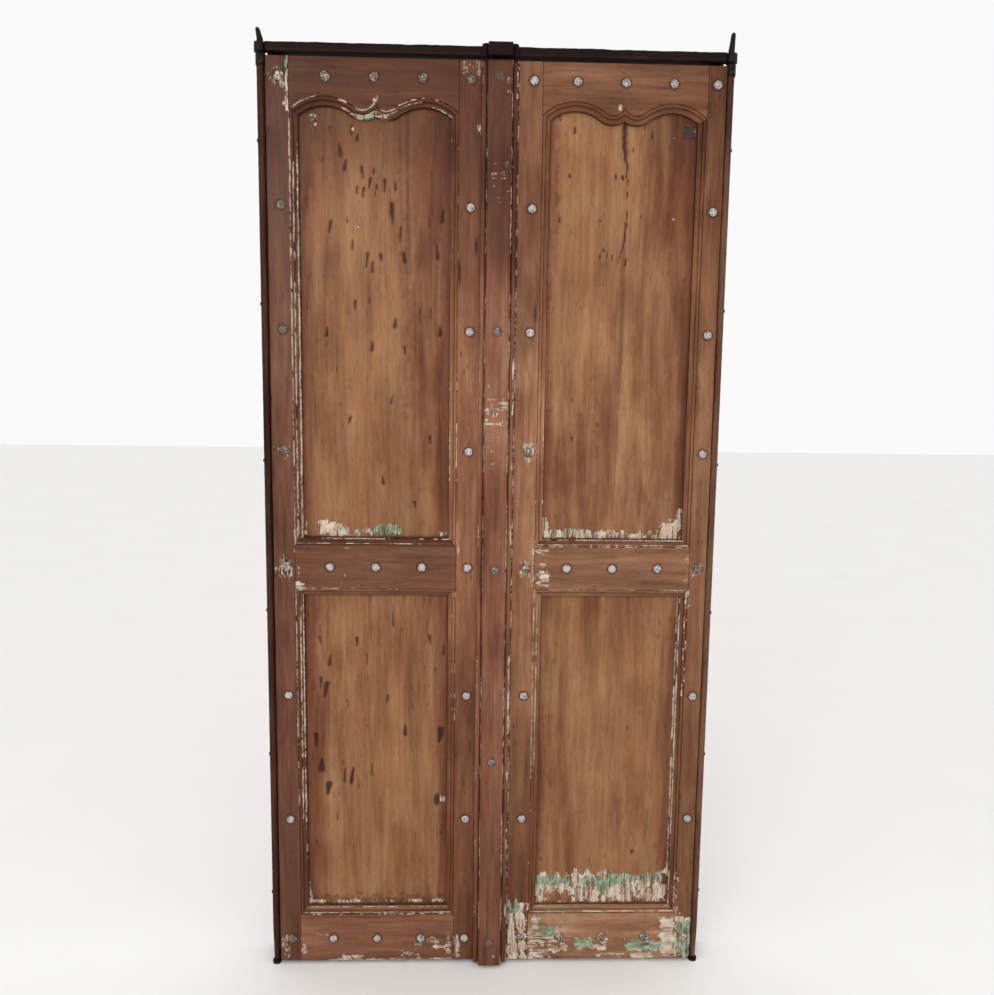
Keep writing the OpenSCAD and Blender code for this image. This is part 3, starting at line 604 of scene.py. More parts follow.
def rail_mint(leaf, which, x, z, t):
    """Share of mint green in the paint on a rail."""
    if which == "top" and leaf is LEFT:
        return step(t, 8, 11) * band(x, -270, -222, 12) * (0.35 + 0.5 * noise(x / 7, z / 5, 27))
    if which == "bottom" and leaf is LEFT:
        return patch(x, z, -165, -70, 38, 56, 3, 9, 30, 0.45)
    if which == "bottom":
        return union(
            each(
                patch, x, z, (180, 236, 26, 50, 6, 12, 45, 0.9), (296, 376, 16, 48, 7, 14, 46, 0.9),
                (316, 340, 40, 62, 6, 9, 47, 0.8), (112, 150, 50, 88, 6, 12, 48, 0.9),
                (380, 400, 30, 70, 5, 8, 49, 0.4)),
            band(t, 2, 8, 1) * band(x, 90, 180, 9) * 0.7,
        )
    return x * 0


def flakes(x, z, pitch_x, pitch_z, seed, low, high, base, more):
    """Paint that has come away in flakes."""
    return base + more * step(rough_noise(x / pitch_x, z / pitch_z, seed), low, high)


def panel_paint(leaf, which, x, z):
    """Cream left along a panel's foot and edges."""
    foot = PANEL_FOOT
    if leaf is LEFT and which == "upper":
        return union(
            each(
                patch, x, z, (-352, -330, 922, 958, 2, 8, 51), (-332, -302, foot - 2, 950, 2, 9, 52),
                (-312, -290, 926, 942, 2, 8, 53, 0.9), (-256, -232, foot + 4, 938, 2, 8, 54),
                (-236, -186, foot + 6, 946, 2, 8, 55), (-282, -262, foot, 934, 2, 9, 56, 0.6),
            ) * flakes(x, z, 7, 13, 82, 0.3, 0.5, 0.8, 0.45),
            each(
                patch, x, z, (-106, -88, foot, 934, 2, 5, 57, 0.9), (-392, -376, 924, 954, 2, 6, 58, 0.6),
                (-300, -210, foot, foot + 4, 2, 6, 59, 0.6)),
            each(
                blot, x, z, (-349, 1725, 3, 3), (-277, 1718, 4, 4), (-277, 1527, 4, 3), (-268, 1535, 3, 2)),
        )
    if leaf is LEFT:
        return union(
            patch(x, z, -384, -90, 121, 129, 2, 6, 61) * (0.25 + 0.75 * broken(x, 83, 0.62, 22)),
            each(patch, x, z, (-378, -90, 127, 146, 5, 12, 136, 0.3), (-384, -376, 124, 190, 3, 5, 63, 0.55)),
            each(blot, x, z, (-101, 356, 2.6, 11, 1.2), (-94, 357, 2.2, 10, 1.1), (-81, 352, 1.6, 12)),
        )
    if which == "upper":
        return union(
            each(
                patch, x, z, (96, 118, foot - 4, 962, 3, 10, 64), (112, 240, foot - 2, 938, 3, 12, 65, 0.95),
                (236, 350, foot - 2, 934, 3, 12, 66, 0.8), (345, 396, foot - 4, 958, 4, 14, 67),
            ) * flakes(x, z, 4.5, 22, 84, 0.34, 0.56, 0.6, 0.65),
            patch(x, z, 378, 396, 940, 984, 3, 10, 68, 0.8),
            each(
                blot, x, z, (285, 1724, 2.4, 4), (350, 1713, 4, 2.6), (312, 1713, 2, 3, 0.8),
                (352, 1560, 3, 3, 0.8)),
        )
    flaked = flakes(x, z, 5, 16, 85, 0.33, 0.52, 0.5, 0.65)
    bare = patch(x, z, 130, 185, 122, 146, 6, 14, 70, 0.7)
    return union(
        patch(x, z, 96, 392, 119, 166, 4, 16, 69) * flaked * (1 - bare),
        patch(x, z, 96, 200, 158, 184, 5, 16, 71) * (0.4 + 0.6 * flaked),
        patch(x, z, 180, 385, 156, 190, 6, 20, 72) * (0.35 + 0.6 * flaked),
        patch(x, z, 97, 103, 180, 240, 2, 5, 73, 0.8),
        patch(x, z, 388, 392, 180, 820, 1, 1.5, 74) * (0.4 + 0.6 * broken(z, 86, 0.7, 70)),
        patch(x, z, 97, 100, 240, 820, 1, 1.5, 75) * (0.3 + 0.7 * broken(z, 87, 0.5, 60)),
    )


PANEL_MINT = {
    "left_upper": [
        (-240, -184, 918, 950, 3, 5, 77), (-318, -288, 930, 945, 3, 5, 78, 0.6),
        (-258, -240, 925, 940, 3, 5, 79, 0.5),
    ],
    "right_upper": [(112, 200, 925, 945, 4, 8, 76, 0.55)],
    "right_lower": [
        (96, 180, 160, 182, 4, 9, 80), (200, 300, 158, 180, 4, 9, 81), (262, 378, 166, 198, 4, 9, 82),
        (232, 262, 140, 170, 4, 8, 83, 0.8),
    ],
}

# Where the panels are more golden, or less where the strength is negative.
PANEL_GOLD = {
    "left_upper": [
        (-350, -190, 960, 1640, 30, 40, 94, 0.3), (-180, -90, 1000, 1750, 30, 40, 95, -0.4),
    ],
    "left_lower": [
        (-300, -120, 170, 640, 30, 40, 96, 0.3), (-390, -300, 300, 800, 20, 30, 97, -0.3),
    ],
    "right_lower": [(120, 290, 200, 720, 30, 40, 98, 0.25)],
}

# The gouges that stand out in the photo, each as its middle, half width and half length.
GOUGES = {
    "left_upper": [
        (-302, 1678, 3, 16), (-293, 1650, 3.5, 14), (-260, 1638, 2.5, 15), (-237, 1642, 2, 10),
        (-270, 1604, 3, 10), (-258, 1600, 2.6, 14), (-245, 1618, 3, 14), (-233, 1605, 2.6, 15),
        (-216, 1614, 3.2, 16), (-196, 1615, 3, 14), (-202, 1562, 4.5, 26), (-290, 1548, 2.6, 9),
        (-103, 1558, 4, 18), (-128, 1546, 3, 15), (-323, 1534, 3, 15), (-224, 1477, 3.5, 9),
        (-251, 1472, 3.5, 20), (-240, 1460, 3, 16), (-186, 1520, 3.6, 24), (-178, 1478, 4, 15),
        (-114, 1493, 3, 24), (-280, 1500, 2.6, 12), (-69, 1513, 2, 20), (-321, 1713, 2.6, 14),
        (-279, 1719, 3.4, 14), (-269, 1702, 3, 9), (-275, 1384, 4, 14), (-246, 1396, 3, 12),
        (-147, 1372, 4, 12), (-196, 1350, 4.5, 13), (-242, 1304, 5, 14), (-177, 1296, 3, 12),
        (-107, 1336, 4, 13), (-331, 1332, 3, 13), (-287, 1158, 3, 10), (-203, 1199, 4, 12),
        (-126, 1119, 3.5, 12), (-221, 1037, 4, 13), (-156, 987, 3, 10),
    ],
    "left_lower": [
        (-352, 703, 5, 9), (-332, 660, 5, 12), (-341, 596, 6, 16), (-351, 612, 4, 11), (-363, 487, 4, 13),
        (-351, 432, 8, 14), (-338, 380, 6, 13), (-303, 410, 3.6, 16), (-288, 408, 3.6, 15),
        (-246, 421, 3.2, 13), (-103, 498, 7, 15), (-201, 748, 2.6, 17), (-176, 509, 4, 12),
        (-214, 575, 3, 10), (-96, 683, 3, 12), (-125, 704, 3, 10), (-276, 700, 3, 9),
    ],
    "right_upper": [
        (123, 1746, 3.2, 8), (145, 1640, 4.5, 6), (235, 1640, 3, 8), (249, 1637, 4.2, 7),
        (127, 1556, 2, 8), (207, 1556, 3, 5), (258, 1545, 5.5, 8), (208, 1487, 2, 8),
        (222, 1490, 2.2, 9), (232, 1484, 2.4, 9), (215, 1500, 2.2, 7), (260, 1478, 2.6, 12),
        (304, 1722, 2, 14), (268, 1690, 3, 7), (153, 1725, 4, 9), (161, 1123, 3, 10),
    ],
    "right_lower": [(312, 235, 4, 5)],
}


def panel_dark(leaf, which, x, z):
    """Gouges and stains on a panel: 1 is nearly black."""
    gouges = GOUGES[leaf.name + "_" + which]
    low, high = MIDDLE_TOP + 40, LEAF_H - 150
    if which == "lower":
        gouges = [(cx, cz, w * 1.15, h * 1.5) for cx, cz, w, h in gouges]
        low, high = BOTTOM_H + 60, MIDDLE_Z - 30
    seed = 300 + (leaf is LEFT) * 2 + (which == "upper")
    side = sorted((across(leaf, leaf.near + 26), across(leaf, leaf.far - 26)))
    faint = random_marks(seed, 34 if leaf is LEFT else 18, *side, low, high, (1.6, 3.0), (5, 17))
    return union(
        np.clip(each(teardrop, x, z, *gouges) * 1.35, 0, 1), each(teardrop, x, z, *faint) * 0.75)


# The long split in the right leaf's upper panel: x, and half width, at each z.
SPLIT_X = [
    (1470, 243), (1520, 256), (1560, 258), (1620, 258), (1660, 256), (1700, 250), (1735, 251), (1772, 251),
]
SPLIT_W = [
    (1470, 0.5), (1520, 2.6), (1545, 1.8), (1600, 0.9), (1650, 2.2), (1690, 5.5), (1730, 6.2), (1772, 2.0),
]


def panel_crack(x, z):
    """The split itself: 1 in its middle."""
    wander = (noise(z / 8, 0, 6) - 0.5) * 3
    off = np.abs(x - np.interp(z, *zip(*SPLIT_X)) - wander) / np.interp(z, *zip(*SPLIT_W))
    return np.exp(-np.power(off, 2.5)) * band(z, 1474, 1768, 6)


# ---- Materials ----


def srgb(r, g, b):
    """A display colour, 0 to 255, as linear RGBA."""
    def linear(c):
        c /= 255
        return c / 12.92 if c <= 0.04045 else ((c + 0.055) / 1.055) ** 2.4
    return (linear(r), linear(g), linear(b), 1)


STUDIO_LEVEL = 1.24
SHEEN_VEIL = 0.011


def seen(r, g, b):
    """The surface colour that looks like this display colour under the studio light."""
    return tuple(max(c - SHEEN_VEIL, 0.002) / STUDIO_LEVEL for c in srgb(r, g, b)[:3]) + (1,)


class Value:
    """A node's output, with the arithmetic that adds Math nodes to it."""

    def __init__(self, nodes, socket):
        self.nodes, self.socket = nodes, socket

    def __add__(self, other):
        return self.nodes.math("ADD", self, other)

    def __sub__(self, other):
        return self.nodes.math("SUBTRACT", self, other)

    def __rsub__(self, other):
        return self.nodes.math("SUBTRACT", other, self)

    def __mul__(self, other):
        return self.nodes.math("MULTIPLY", self, other)

    def __pow__(self, other):
        return self.nodes.math("POWER", self, other)


class Nodes:
    """Short calls for building a node material."""

    def __init__(self, name):
        self.material = bpy.data.materials.new(name)
        self.material.use_nodes = True
        self.tree = self.material.node_tree
        self.tree.nodes.clear()
        self.shader = self.tree.nodes.new("ShaderNodeBsdfPrincipled")
        out = self.tree.nodes.new("ShaderNodeOutputMaterial")
        self.tree.links.new(self.shader.outputs[0], out.inputs[0])

    def put(self, socket, value):
        if isinstance(value, Value):
            self.tree.links.new(value.socket, socket)
        else:
            socket.default_value = value

    def add(self, kind, inputs, output=0, **settings):
        """The output of a new node with these inputs, by name or number, and settings."""
        node = self.tree.nodes.new("ShaderNode" + kind)
        for key, value in settings.items():
            setattr(node, key, value)
        for key, value in inputs.items():
            self.put(node.inputs[key], value)
        return Value(self, node.outputs[output])

    def attribute(self, name):
        return self.add("Attribute", {}, "Fac", attribute_name=name)

    def noise(self, scale, detail=3.0, rough=0.55, offset=(0, 0, 0), distort=0.0):
        place = self.add("TexCoord", {}, "Object")
        place = self.add("Mapping", {"Vector": place, "Scale": scale, "Location": offset})
        inputs = {"Vector": place, "Scale": 1, "Detail": detail, "Roughness": rough, "Distortion": distort}
        return self.add("TexNoise", inputs, "Fac")

    def math(self, kind, a, b):
        return self.add("Math", {0: a, 1: b}, operation=kind)

    def remap(self, value, low, high, to_low=0.0, to_high=1.0):
        inputs = dict(enumerate((value, low, high, to_low, to_high)))
        return self.add("MapRange", inputs, interpolation_type="SMOOTHSTEP")

    def mix(self, factor, a, b, kind="MIX"):
        return self.add("Mix", {0: factor, 6: a, 7: b}, 2, data_type="RGBA", blend_type=kind)

    def ramp(self, value, colours):
        node = self.tree.nodes.new("ShaderNodeValToRGB")
        elements = node.color_ramp.elements
        elements.new(0.5)
        for element, at, colour in zip(elements, (0.38, 0.5, 0.62), colours):
            element.position = at
            element.color = colour
        self.put(node.inputs[0], value)
        return Value(self, node.outputs[0])

    def bump(self, height, distance):
        inputs = {"Distance": distance, "Strength": 0.8, "Height": height}
        self.put(self.shader.inputs["Normal"], self.add("Bump", inputs))

    def finish(self, colour, rough, metallic=0.0, specular=0.5):
        self.put(self.shader.inputs["Base Color"], colour)
        self.put(self.shader.inputs["Roughness"], rough)
        self.put(self.shader.inputs["Metallic"], metallic)
        self.shader.inputs["Specular IOR Level"].default_value = specular
        return self.material


CREAM = seen(230, 216, 194)
CREAM_PINK = seen(208, 182, 162)
MINT = seen(158, 184, 156)
MINT_DARK = seen(108, 144, 114)
BARE_DARK = seen(52, 29, 19)


def wood(name, tones, seed, golden=None, axis=2, gloss=0.5, specular=0.16):
    """Old oiled wood with its grain along one axis, under traces of paint. tones and golden are
    three display colours from dark to pale. The pieces' own fields say where it is golden, dark,
    grimy or painted; the dark and grimy fields also carry painted shade."""
    n = Nodes(name)
    tones = [seen(*tone) for tone in tones]
    shift = (seed, seed * 0.7, seed * 1.3)

    def grained(across_scale, along_scale, detail, rough, offset=shift, distort=0.0):
        """Noise stretched along the grain."""
        scale = [across_scale] * 3
        scale[axis] = along_scale
        return n.noise(scale, detail, rough, offset, distort)

    cloudy = grained(13, 6, 4, 0.6)
    broad = grained(30, 2.4, 4, 0.6, distort=0.9)
    fibre = grained(130, 8, 3, 0.65, distort=0.4)
    pore = grained(520, 55, 2, 0.5)
    grain = broad * 0.4 + fibre * 0.25 + cloudy * 0.35
    colour = n.ramp(grain, tones)
    if golden:
        gold = n.ramp(grain, [seen(*tone) for tone in golden])
        amount = n.attribute("gold") + (broad - 0.5) * 1.3 + (cloudy - 0.5) * 0.9
        colour = n.mix(n.remap(amount, 0.05, 0.9), colour, gold)
    warmth = grained(17, 5, 3, 0.6, (seed * 1.7, seed, seed * 0.4))
    hue = n.mix(n.remap(warmth, 0.36, 0.64), (1.03, 0.975, 0.95, 1), (0.96, 1.0, 1.01, 1))
    colour = n.mix(1.0, colour, hue, "MULTIPLY")
    colour = n.mix(n.remap(pore, 0.3, 0.42, 0.28, 0.0), colour, BARE_DARK)

    # Grime, with painted shade where the light falls off, darkens the wood with a brown tint.
    grime_and_shade = n.attribute("grime_and_shade") * n.remap(cloudy, 0.35, 0.65, 0.8, 1.2)
    level = 1.0 - grime_and_shade * 0.55
    tint = n.add("CombineColor", {0: level, 1: level**1.28, 2: level**1.48})
    colour = n.mix(1.0, colour, tint, "MULTIPLY")
    # The dark field holds stains and painted shade; both darken the wood towards bare dark wood.
    stain_and_shade = n.attribute("dark") + (grained(170, 50, 4, 0.7) - 0.5) * 0.7
    colour = n.mix(n.remap(stain_and_shade, 0.15, 0.95, 0.0, 0.85), colour, BARE_DARK)

    flake = grained(340, 120, 4, 0.75) - 0.5
    chip = grained(90, 34, 3, 0.6) - 0.5
    painted = n.attribute("paint")
    paint = n.remap(painted * 0.95 + (flake * 2.4 + chip * 1.9), 0.45, 0.68)
    paint = paint * n.remap(painted, 0.1, 0.75, 0.0, 0.95)
    tone = grained(80, 40, 4, 0.65)
    coat = n.mix(n.remap(tone, 0.4, 0.62), CREAM, CREAM_PINK)
    green = n.mix(n.remap(tone, 0.42, 0.6), MINT, MINT_DARK)
    greenness = n.attribute("mint") + chip * 1.6 + flake * 1.2
    coat = n.mix(n.remap(greenness, 0.4, 0.75, 0.0, 0.9), coat, green)
    coat = n.mix(n.remap(fibre, 0.5, 0.66, 0.0, 0.5), coat, tones[1])
    crack = grained(260, 26, 3, 0.6, (seed * 0.3, seed * 1.1, seed))
    coat = n.mix(n.remap(crack, 0.55, 0.62, 0.0, 0.75), coat, BARE_DARK)
    colour = n.mix(paint, colour, coat)

    rough = n.remap(paint, 0, 1, gloss, 0.8) + (fibre - 0.5) * 0.4
    n.bump(fibre * 0.6 + pore * 0.3 + paint * 0.9, 0.0006)
    return n.finish(colour, rough, specular=specular)


def iron(name, dark, bright, rust, metallic, seed=0.0, wear_at=0.56, specular=0.4):
    """Hand-forged iron, blackened, with rust in its hollows and worn bright spots."""
    n = Nodes(name)
    shift = (seed, seed, seed)
    pits = n.noise((420, 420, 420), 4, 0.7, shift)
    cloud = n.noise((90, 90, 90), 4, 0.6, shift)
    colour = n.mix(n.remap(cloud, 0.42, 0.62), seen(*dark), seen(*rust))
    wear = n.attribute("worn") + (pits - 0.5) * 1.5
    colour = n.mix(n.remap(wear, wear_at, wear_at + 0.3), colour, seen(*bright))
    painted = n.attribute("paint")
    paint = n.remap(painted + (pits - 0.5) * 2.2, 0.5, 0.64) * n.remap(painted, 0.1, 0.3)
    colour = n.mix(paint * 0.85, colour, n.mix(n.attribute("mint"), CREAM, MINT))
    n.bump(pits + cloud * 0.8, 0.0007)
    metal = n.remap(paint, 0, 1, 1, 0) * metallic
    return n.finish(colour, n.remap(pits, 0.3, 0.7, 0.42, 0.7), metal, specular)


MATERIALS = {
    "left": wood("left_wood", [(110, 70, 49), (132, 88, 64), (156, 110, 80)], 1.0),
    "left_rail": wood("left_rail_wood", [(104, 68, 50), (126, 86, 65), (146, 104, 79)], 2.0, axis=0),
    "right": wood("right_wood", [(118, 76, 52), (144, 101, 73), (168, 124, 92)], 3.0),
    "right_rail": wood(
        "right_rail_wood", [(116, 78, 54), (140, 100, 74), (164, 122, 92)], 4.0, axis=0, gloss=0.52),
    "purple": wood("purple_wood", [(96, 61, 46), (118, 80, 62), (138, 99, 79)], 5.0, gloss=0.45),
    "astragal": wood("astragal_wood", [(106, 66, 48), (130, 86, 65), (150, 106, 83)], 5.5, gloss=0.42),
    "panel": wood(
        "panel_wood", [(104, 63, 43), (127, 82, 58), (147, 101, 74)], 6.0,
        golden=[(124, 82, 55), (149, 105, 73), (168, 125, 88)], gloss=0.48),
    "dark": wood(
        "head_wood", [(34, 24, 21), (43, 32, 28), (54, 42, 36)], 7.0, axis=0, gloss=0.65, specular=0.12),
    "pole": wood("pole_wood", [(52, 34, 26), (70, 48, 37), (86, 61, 47)], 8.0, gloss=0.6, specular=0.12),
    "right_pole": wood("right_pole_wood", [(76, 50, 37), (112, 80, 60), (132, 98, 75)], 9.0, gloss=0.6),
    "plain": wood(
        "jamb_wood", [(58, 41, 31), (88, 65, 50), (112, 86, 67)], 10.0, gloss=0.65, specular=0.15),
    "iron": iron("black_iron", (34, 32, 27), (104, 100, 93), (50, 39, 31), 0.4, specular=0.25),
    "stud": iron("stud_iron", (88, 72, 62), (205, 199, 196), (118, 98, 84), 0.25, 2.0, 0.3),
    "plate": iron("plate_iron", (66, 52, 54), (96, 84, 82), (84, 64, 58), 0.3, 3.0, 0.7),
}


def finish_piece(piece, material, body, node):
    """Give a piece its material and its body, and let it stand in for a CAD node."""
    piece.data.materials.append(MATERIALS[material])
    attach(piece, body)
    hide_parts(node)


# ---- Pieces of a leaf ----

FOOT_ROW, MIDDLE_ROW, CHEST_ROW, EYE_ROW, TOP_ROW = 51, 861, 1097.75, 1334.5, 1808
STUD_ROWS = [FOOT_ROW, 321, 591, MIDDLE_ROW, CHEST_ROW, EYE_ROW, 1571.25, TOP_ROW]
RAIL_ROWS = [FOOT_ROW, MIDDLE_ROW, TOP_ROW]
HANGING_STUD_INSET = 17.5
# Radius of the ring of painted shadow round each stud.
RIM_SHADE_R = 10.4


def stud_places(leaf):
    """x and z of each stud on a leaf."""
    mid, _ = opening(leaf)
    hanging_u = leaf.near - HANGING_STUD_INSET
    meeting_u = leaf.far + (23.5 if leaf is LEFT else 17)
    places = []
    for z in STUD_ROWS:
        places += [(across(leaf, hanging_u), z), (across(leaf, meeting_u), z)]
    for z in RAIL_ROWS:
        places += [(across(leaf, mid + k * RAIL_STUD_PITCH), z) for k in (-1, 0, 1)]
    return places


def stud_rim_shade(x, z, places):
    """Painted shadow in a ring against the rims of the studs."""
    return union(*[np.exp(-(((np.hypot(x - a, z - b) - RIM_SHADE_R) / 1.9) ** 2)) for a, b in places])


def seam(t, width=1.1, depth=0.9):
    """The open joint between two timbers."""
    return depth * np.clip(1 - np.abs(t) / width, 0, 1)


def face_relief(x, z, seed, along_z=True):
    """The worn face, kept from standing proud of the new one."""
    return np.maximum(worn(x, z, seed, along_z) + 0.35, -0.1) * 0.6


def stile_marks(leaf, hanging, x, z):
    """Stains that only one stile has, and painted shadow in the gaps beside the head, the pole and the
    astragal.
    """
    if hanging and leaf is LEFT:
        # Painted shadow along the top under the head and along the outer edge beside the pole; the blot is a
        # stain.
        return union(
            step(z, 1840, 1852) * 0.4, blot(x, z, -416, 861, 15, 22, 0.75), step(-x - 434, 0, 6) * 0.35)
    if leaf is LEFT:
        return each(
            blot, x, z, (-37, 1498, 3.4, 20), (-69, 1450, 4, 28, 0.9), (-66, 1560, 2.6, 16, 0.7),
            (-40, 480, 3, 24, 0.8))
    if hanging:
        return x * 0
    # Painted shade along the edge beside the astragal; the blot is a stain.
    return union((1 - step(x - 41, 0, 3)) * 0.9, blot(x, z, 81, 1370, 3, 28, 0.85))


def stile(leaf, which):
    """A stile: a worn flat, with its share of the mouldings mitred to the rails'."""
    hanging = which == "hanging"
    face, out = (leaf.near, leaf.stile) if hanging else (leaf.far, leaf.edge)
    way = 1 if out > face else -1
    z = ended(0, LEAF_H, 2.6, (0, 0.6, 1.6), extra=moulding_corners(leaf))
    flat = ended(0, abs(out - face), 3.0)
    t = np.concatenate([STICK_T[::-1], -flat[1:]])
    zz, tt = np.meshgrid(z, t, indexing="ij")
    reach = moulding_reach(leaf, z)[:, None]
    tt = np.where(tt > 0, np.minimum(tt, reach), tt)
    u = face - way * tt
    x = across(leaf, u)
    seed = 20 + (leaf is LEFT) * 2 + hanging
    inward = np.maximum(-tt, 0)
    depth = moulding_depth(np.maximum(tt, 0)) + rounded(np.abs(out - u), 1.6 + noise(zz / 30, 0, seed) * 2.2)
    depth = depth + np.where(reach < 0.01, seam(inward), seam(inward, 0.6, 0.4) * (tt <= 0))
    foot = rounded(zz, 1.2 + 2.5 * noise(x / 16, 0, seed + 3)) + rounded(LEAF_H - zz, 1.2)
    if hanging and leaf is RIGHT:
        corner_cut = step((x - 432) * 1.6 + (34 - zz), 0, 16) * step(x, 432, 440) * (1 - step(zz, 20, 36))
        foot = foot + corner_cut * 5
    depth = depth + foot * (tt < 15) + face_relief(x, zz, seed) * step(inward, 0, 4)
    depth = depth + (rough_noise(x / 5, zz / 18, seed + 4) - 0.5) * 0.9 * (tt > 0)
    span = sorted((across(leaf, face), across(leaf, out)))
    dents = random_marks(seed, 26, *span, 20, LEAF_H - 20, (0.8, 2.0), (1.5, 9))
    dent = each(blot, x, zz, *dents)
    paint = stile_paint(leaf, x, zz, tt, hanging)
    # The lines 1.0 and 7.4 into the moulding are dirt with painted shade in its grooves; the line at 15.8,
    # against the panel, and the ring round each stud are painted shadow.
    dark = union(
        dent * 0.7, stud_rim_shade(x, zz, stud_places(leaf)) * 0.7,
        lines(tt, [1.0, 7.4], 0.9) * 0.75 * (reach > 1), lines(tt, [15.8], 0.8) * 0.8 * (reach > 1),
        np.where(reach < 0.01, lines(tt, [0.0], 1.0) * 0.7, 0),
        step(noise(x / 7, zz / 120, seed + 6), 0.66, 0.9) * 0.4,
        (1 - step(inward + 12 * (tt > 0), 0, 9)) * 0.12, stile_marks(leaf, hanging, x, zz),
    )
    depth = depth + dent * 0.9 - step(paint, 0.5, 0.8) * 0.25
    material = "purple" if leaf is LEFT and hanging else leaf.name
    node = leaf.name + "_" + which + "_stile"
    piece = front_solid(
        node + "_old", world(x, np.maximum(depth, 0), zz), LEAF_T,
        {"paint": paint, "mint": stile_mint(leaf, x, zz, tt, hanging), "dark": dark,
         "grime_and_shade": stile_grime_and_shade(leaf, x, zz, hanging)})
    finish_piece(piece, material, leaf.body, node)


def arched_grid(half):
    """The top rail's grid: from the arch, inset by the moulding, up to the leaf's top."""
    under = [arch_points(half, inset, (72, 26)) for inset in STICK_T[::-1]]
    off = np.stack([p[0] for p in under], 1)
    arch_z = np.stack([p[1] for p in under], 1)
    share = np.concatenate([[0.012, 0.03], np.linspace(0.06, 0.97, 30), [0.985, 0.995, 1]])
    foot = arch_z[:, -1:]
    off = np.concatenate([off, np.repeat(off[:, -1:], len(share), 1)], 1)
    zz = np.concatenate([arch_z, foot + (LEAF_H - foot) * share[None, :]], 1)
    tt = np.concatenate([STICK_T[::-1], -np.ones(len(share))])[None, :] + zz * 0
    tt = np.where(tt < 0, -np.maximum(zz - foot, 0.01), tt)
    return off, zz, tt, (0, len(STICK_T) - 1, -1)


def straight_grid(half, which):
    """The grid of a rail with straight mouldings, narrowed along them by their mitres."""
    low, high = (0, BOTTOM_H) if which == "bottom" else (MIDDLE_Z, MIDDLE_TOP)
    flat = ended(low, high, 2.8)
    if which == "bottom":
        across_z = np.concatenate([flat, high + STICK_T[1:]])
        t_row = np.concatenate([-(high - flat), STICK_T[1:]])
        back = (0, len(flat) - 1, -1)
    else:
        across_z = np.concatenate([low - STICK_T[:0:-1], flat, high + STICK_T[1:]])
        t_row = np.concatenate([STICK_T[:0:-1], -np.minimum(flat - low, high - flat), STICK_T[1:]])
        back = (0, len(STICK_T) - 1, len(STICK_T) + len(flat) - 2, -1)
    along, zz = np.meshgrid(ended(0, 2 * half, 2.8) - half, across_z, indexing="ij")
    tt = t_row[None, :] + zz * 0
    return along * (half - np.maximum(tt, 0)) / half, zz, tt, back, along


RAIL_RUBBED = {
    "left_top_rail": -0.3, "left_bottom_rail": 0.5, "left_middle_rail": -0.25,
    "right_top_rail": 0.2, "right_middle_rail": -0.2, "right_bottom_rail": 0.55,
}


def rail(leaf, which):
    """A rail: stations run along it, and each crosses it from its foot to its top."""
    mid, half = opening(leaf)
    name = leaf.name + "_" + which + "_rail"
    seed = 40 + (leaf is LEFT) * 3 + len(which)
    outer = 0
    if which == "top":
        off, zz, tt, back = arched_grid(half)
        outer = rounded(LEAF_H - zz, 1.3)
    else:
        off, zz, tt, back, along = straight_grid(half, which)
        if which == "bottom":
            outer = rounded(zz, 1.4 + 3.2 * noise(along / 14, 0, seed + 7))
    x = leaf.side * (HALF_W - mid - off)
    inward = np.maximum(-tt, 0)
    ends = half - np.abs(off)
    depth = moulding_depth(np.maximum(tt, 0)) + outer
    depth = depth + seam(ends, 1.2) * (tt <= 0) + seam(inward, 0.6, 0.4) * (tt <= 0)
    relief = face_relief(x, zz, seed, along_z=False)
    depth = depth + relief * step(inward, 0, 4) * step(ends, 0, 5)
    pitting = (rough_noise(x / 18, zz / 5, seed + 4) - 0.5) * 0.9 * (tt > 0)
    depth = depth + pitting * step(ends - np.maximum(tt, 0), 0, 5)
    span = sorted((across(leaf, leaf.near), across(leaf, leaf.far)))
    dents = random_marks(seed, 16, *span, zz.min() + 8, zz.max() - 12, (1.5, 9), (0.8, 2.2))
    dent = each(blot, x, zz, *dents)
    paint = RAIL_PAINT[which](leaf, x, zz, tt)
    # The lines 1.0 and 7.4 into the moulding are dirt with painted shade in its grooves; the line at 15.8,
    # against the panel, and the ring round each stud are painted shadow.
    dark = union(
        dent * 0.6, stud_rim_shade(x, zz, stud_places(leaf)) * 0.7,
        lines(tt, [1.0, 7.4, 15.8], 0.9) * 0.75, lines(ends, 0.0, 1.1) * 0.6 * (tt <= 0),
        step(noise(x / 110, zz / 6, seed + 6), 0.64, 0.9) * 0.42,
        (1 - step(np.abs(tt), 0, 5)) * 0.15,
    )
    # Painted shadow on the middle rail's upper moulding, below the upper panel's foot.
    if which == "middle":
        dark = union(dark, step(tt, 8.2, 10.5) * 0.75 * step(zz, MIDDLE_TOP, MIDDLE_TOP + 1))
    depth = np.maximum(depth + dent * 0.8 - step(paint, 0.5, 0.8) * 0.25, 0)
    # Grime and painted shade where the light falls off towards the top, the foot and the hanging edges, less
    # where the rail is rubbed.
    grime_and_shade = grime_and_falloff_shade(x, zz) - RAIL_RUBBED[name] + 0.5 * (rough_noise(x / 70, zz / 22, 133) - 0.5)
    if leaf is RIGHT and which == "bottom":
        grime_and_shade = grime_and_shade - 0.5 * patch(x, zz, 130, 370, 44, 100, 10, 16, 61)
    piece = front_solid(
        name + "_old", world(x, depth, zz), LEAF_T,
        {"paint": paint, "mint": rail_mint(leaf, which, x, zz, tt), "dark": dark, "grime_and_shade": grime_and_shade}, back)
    finish_piece(piece, leaf.name + "_rail", leaf.body, name)


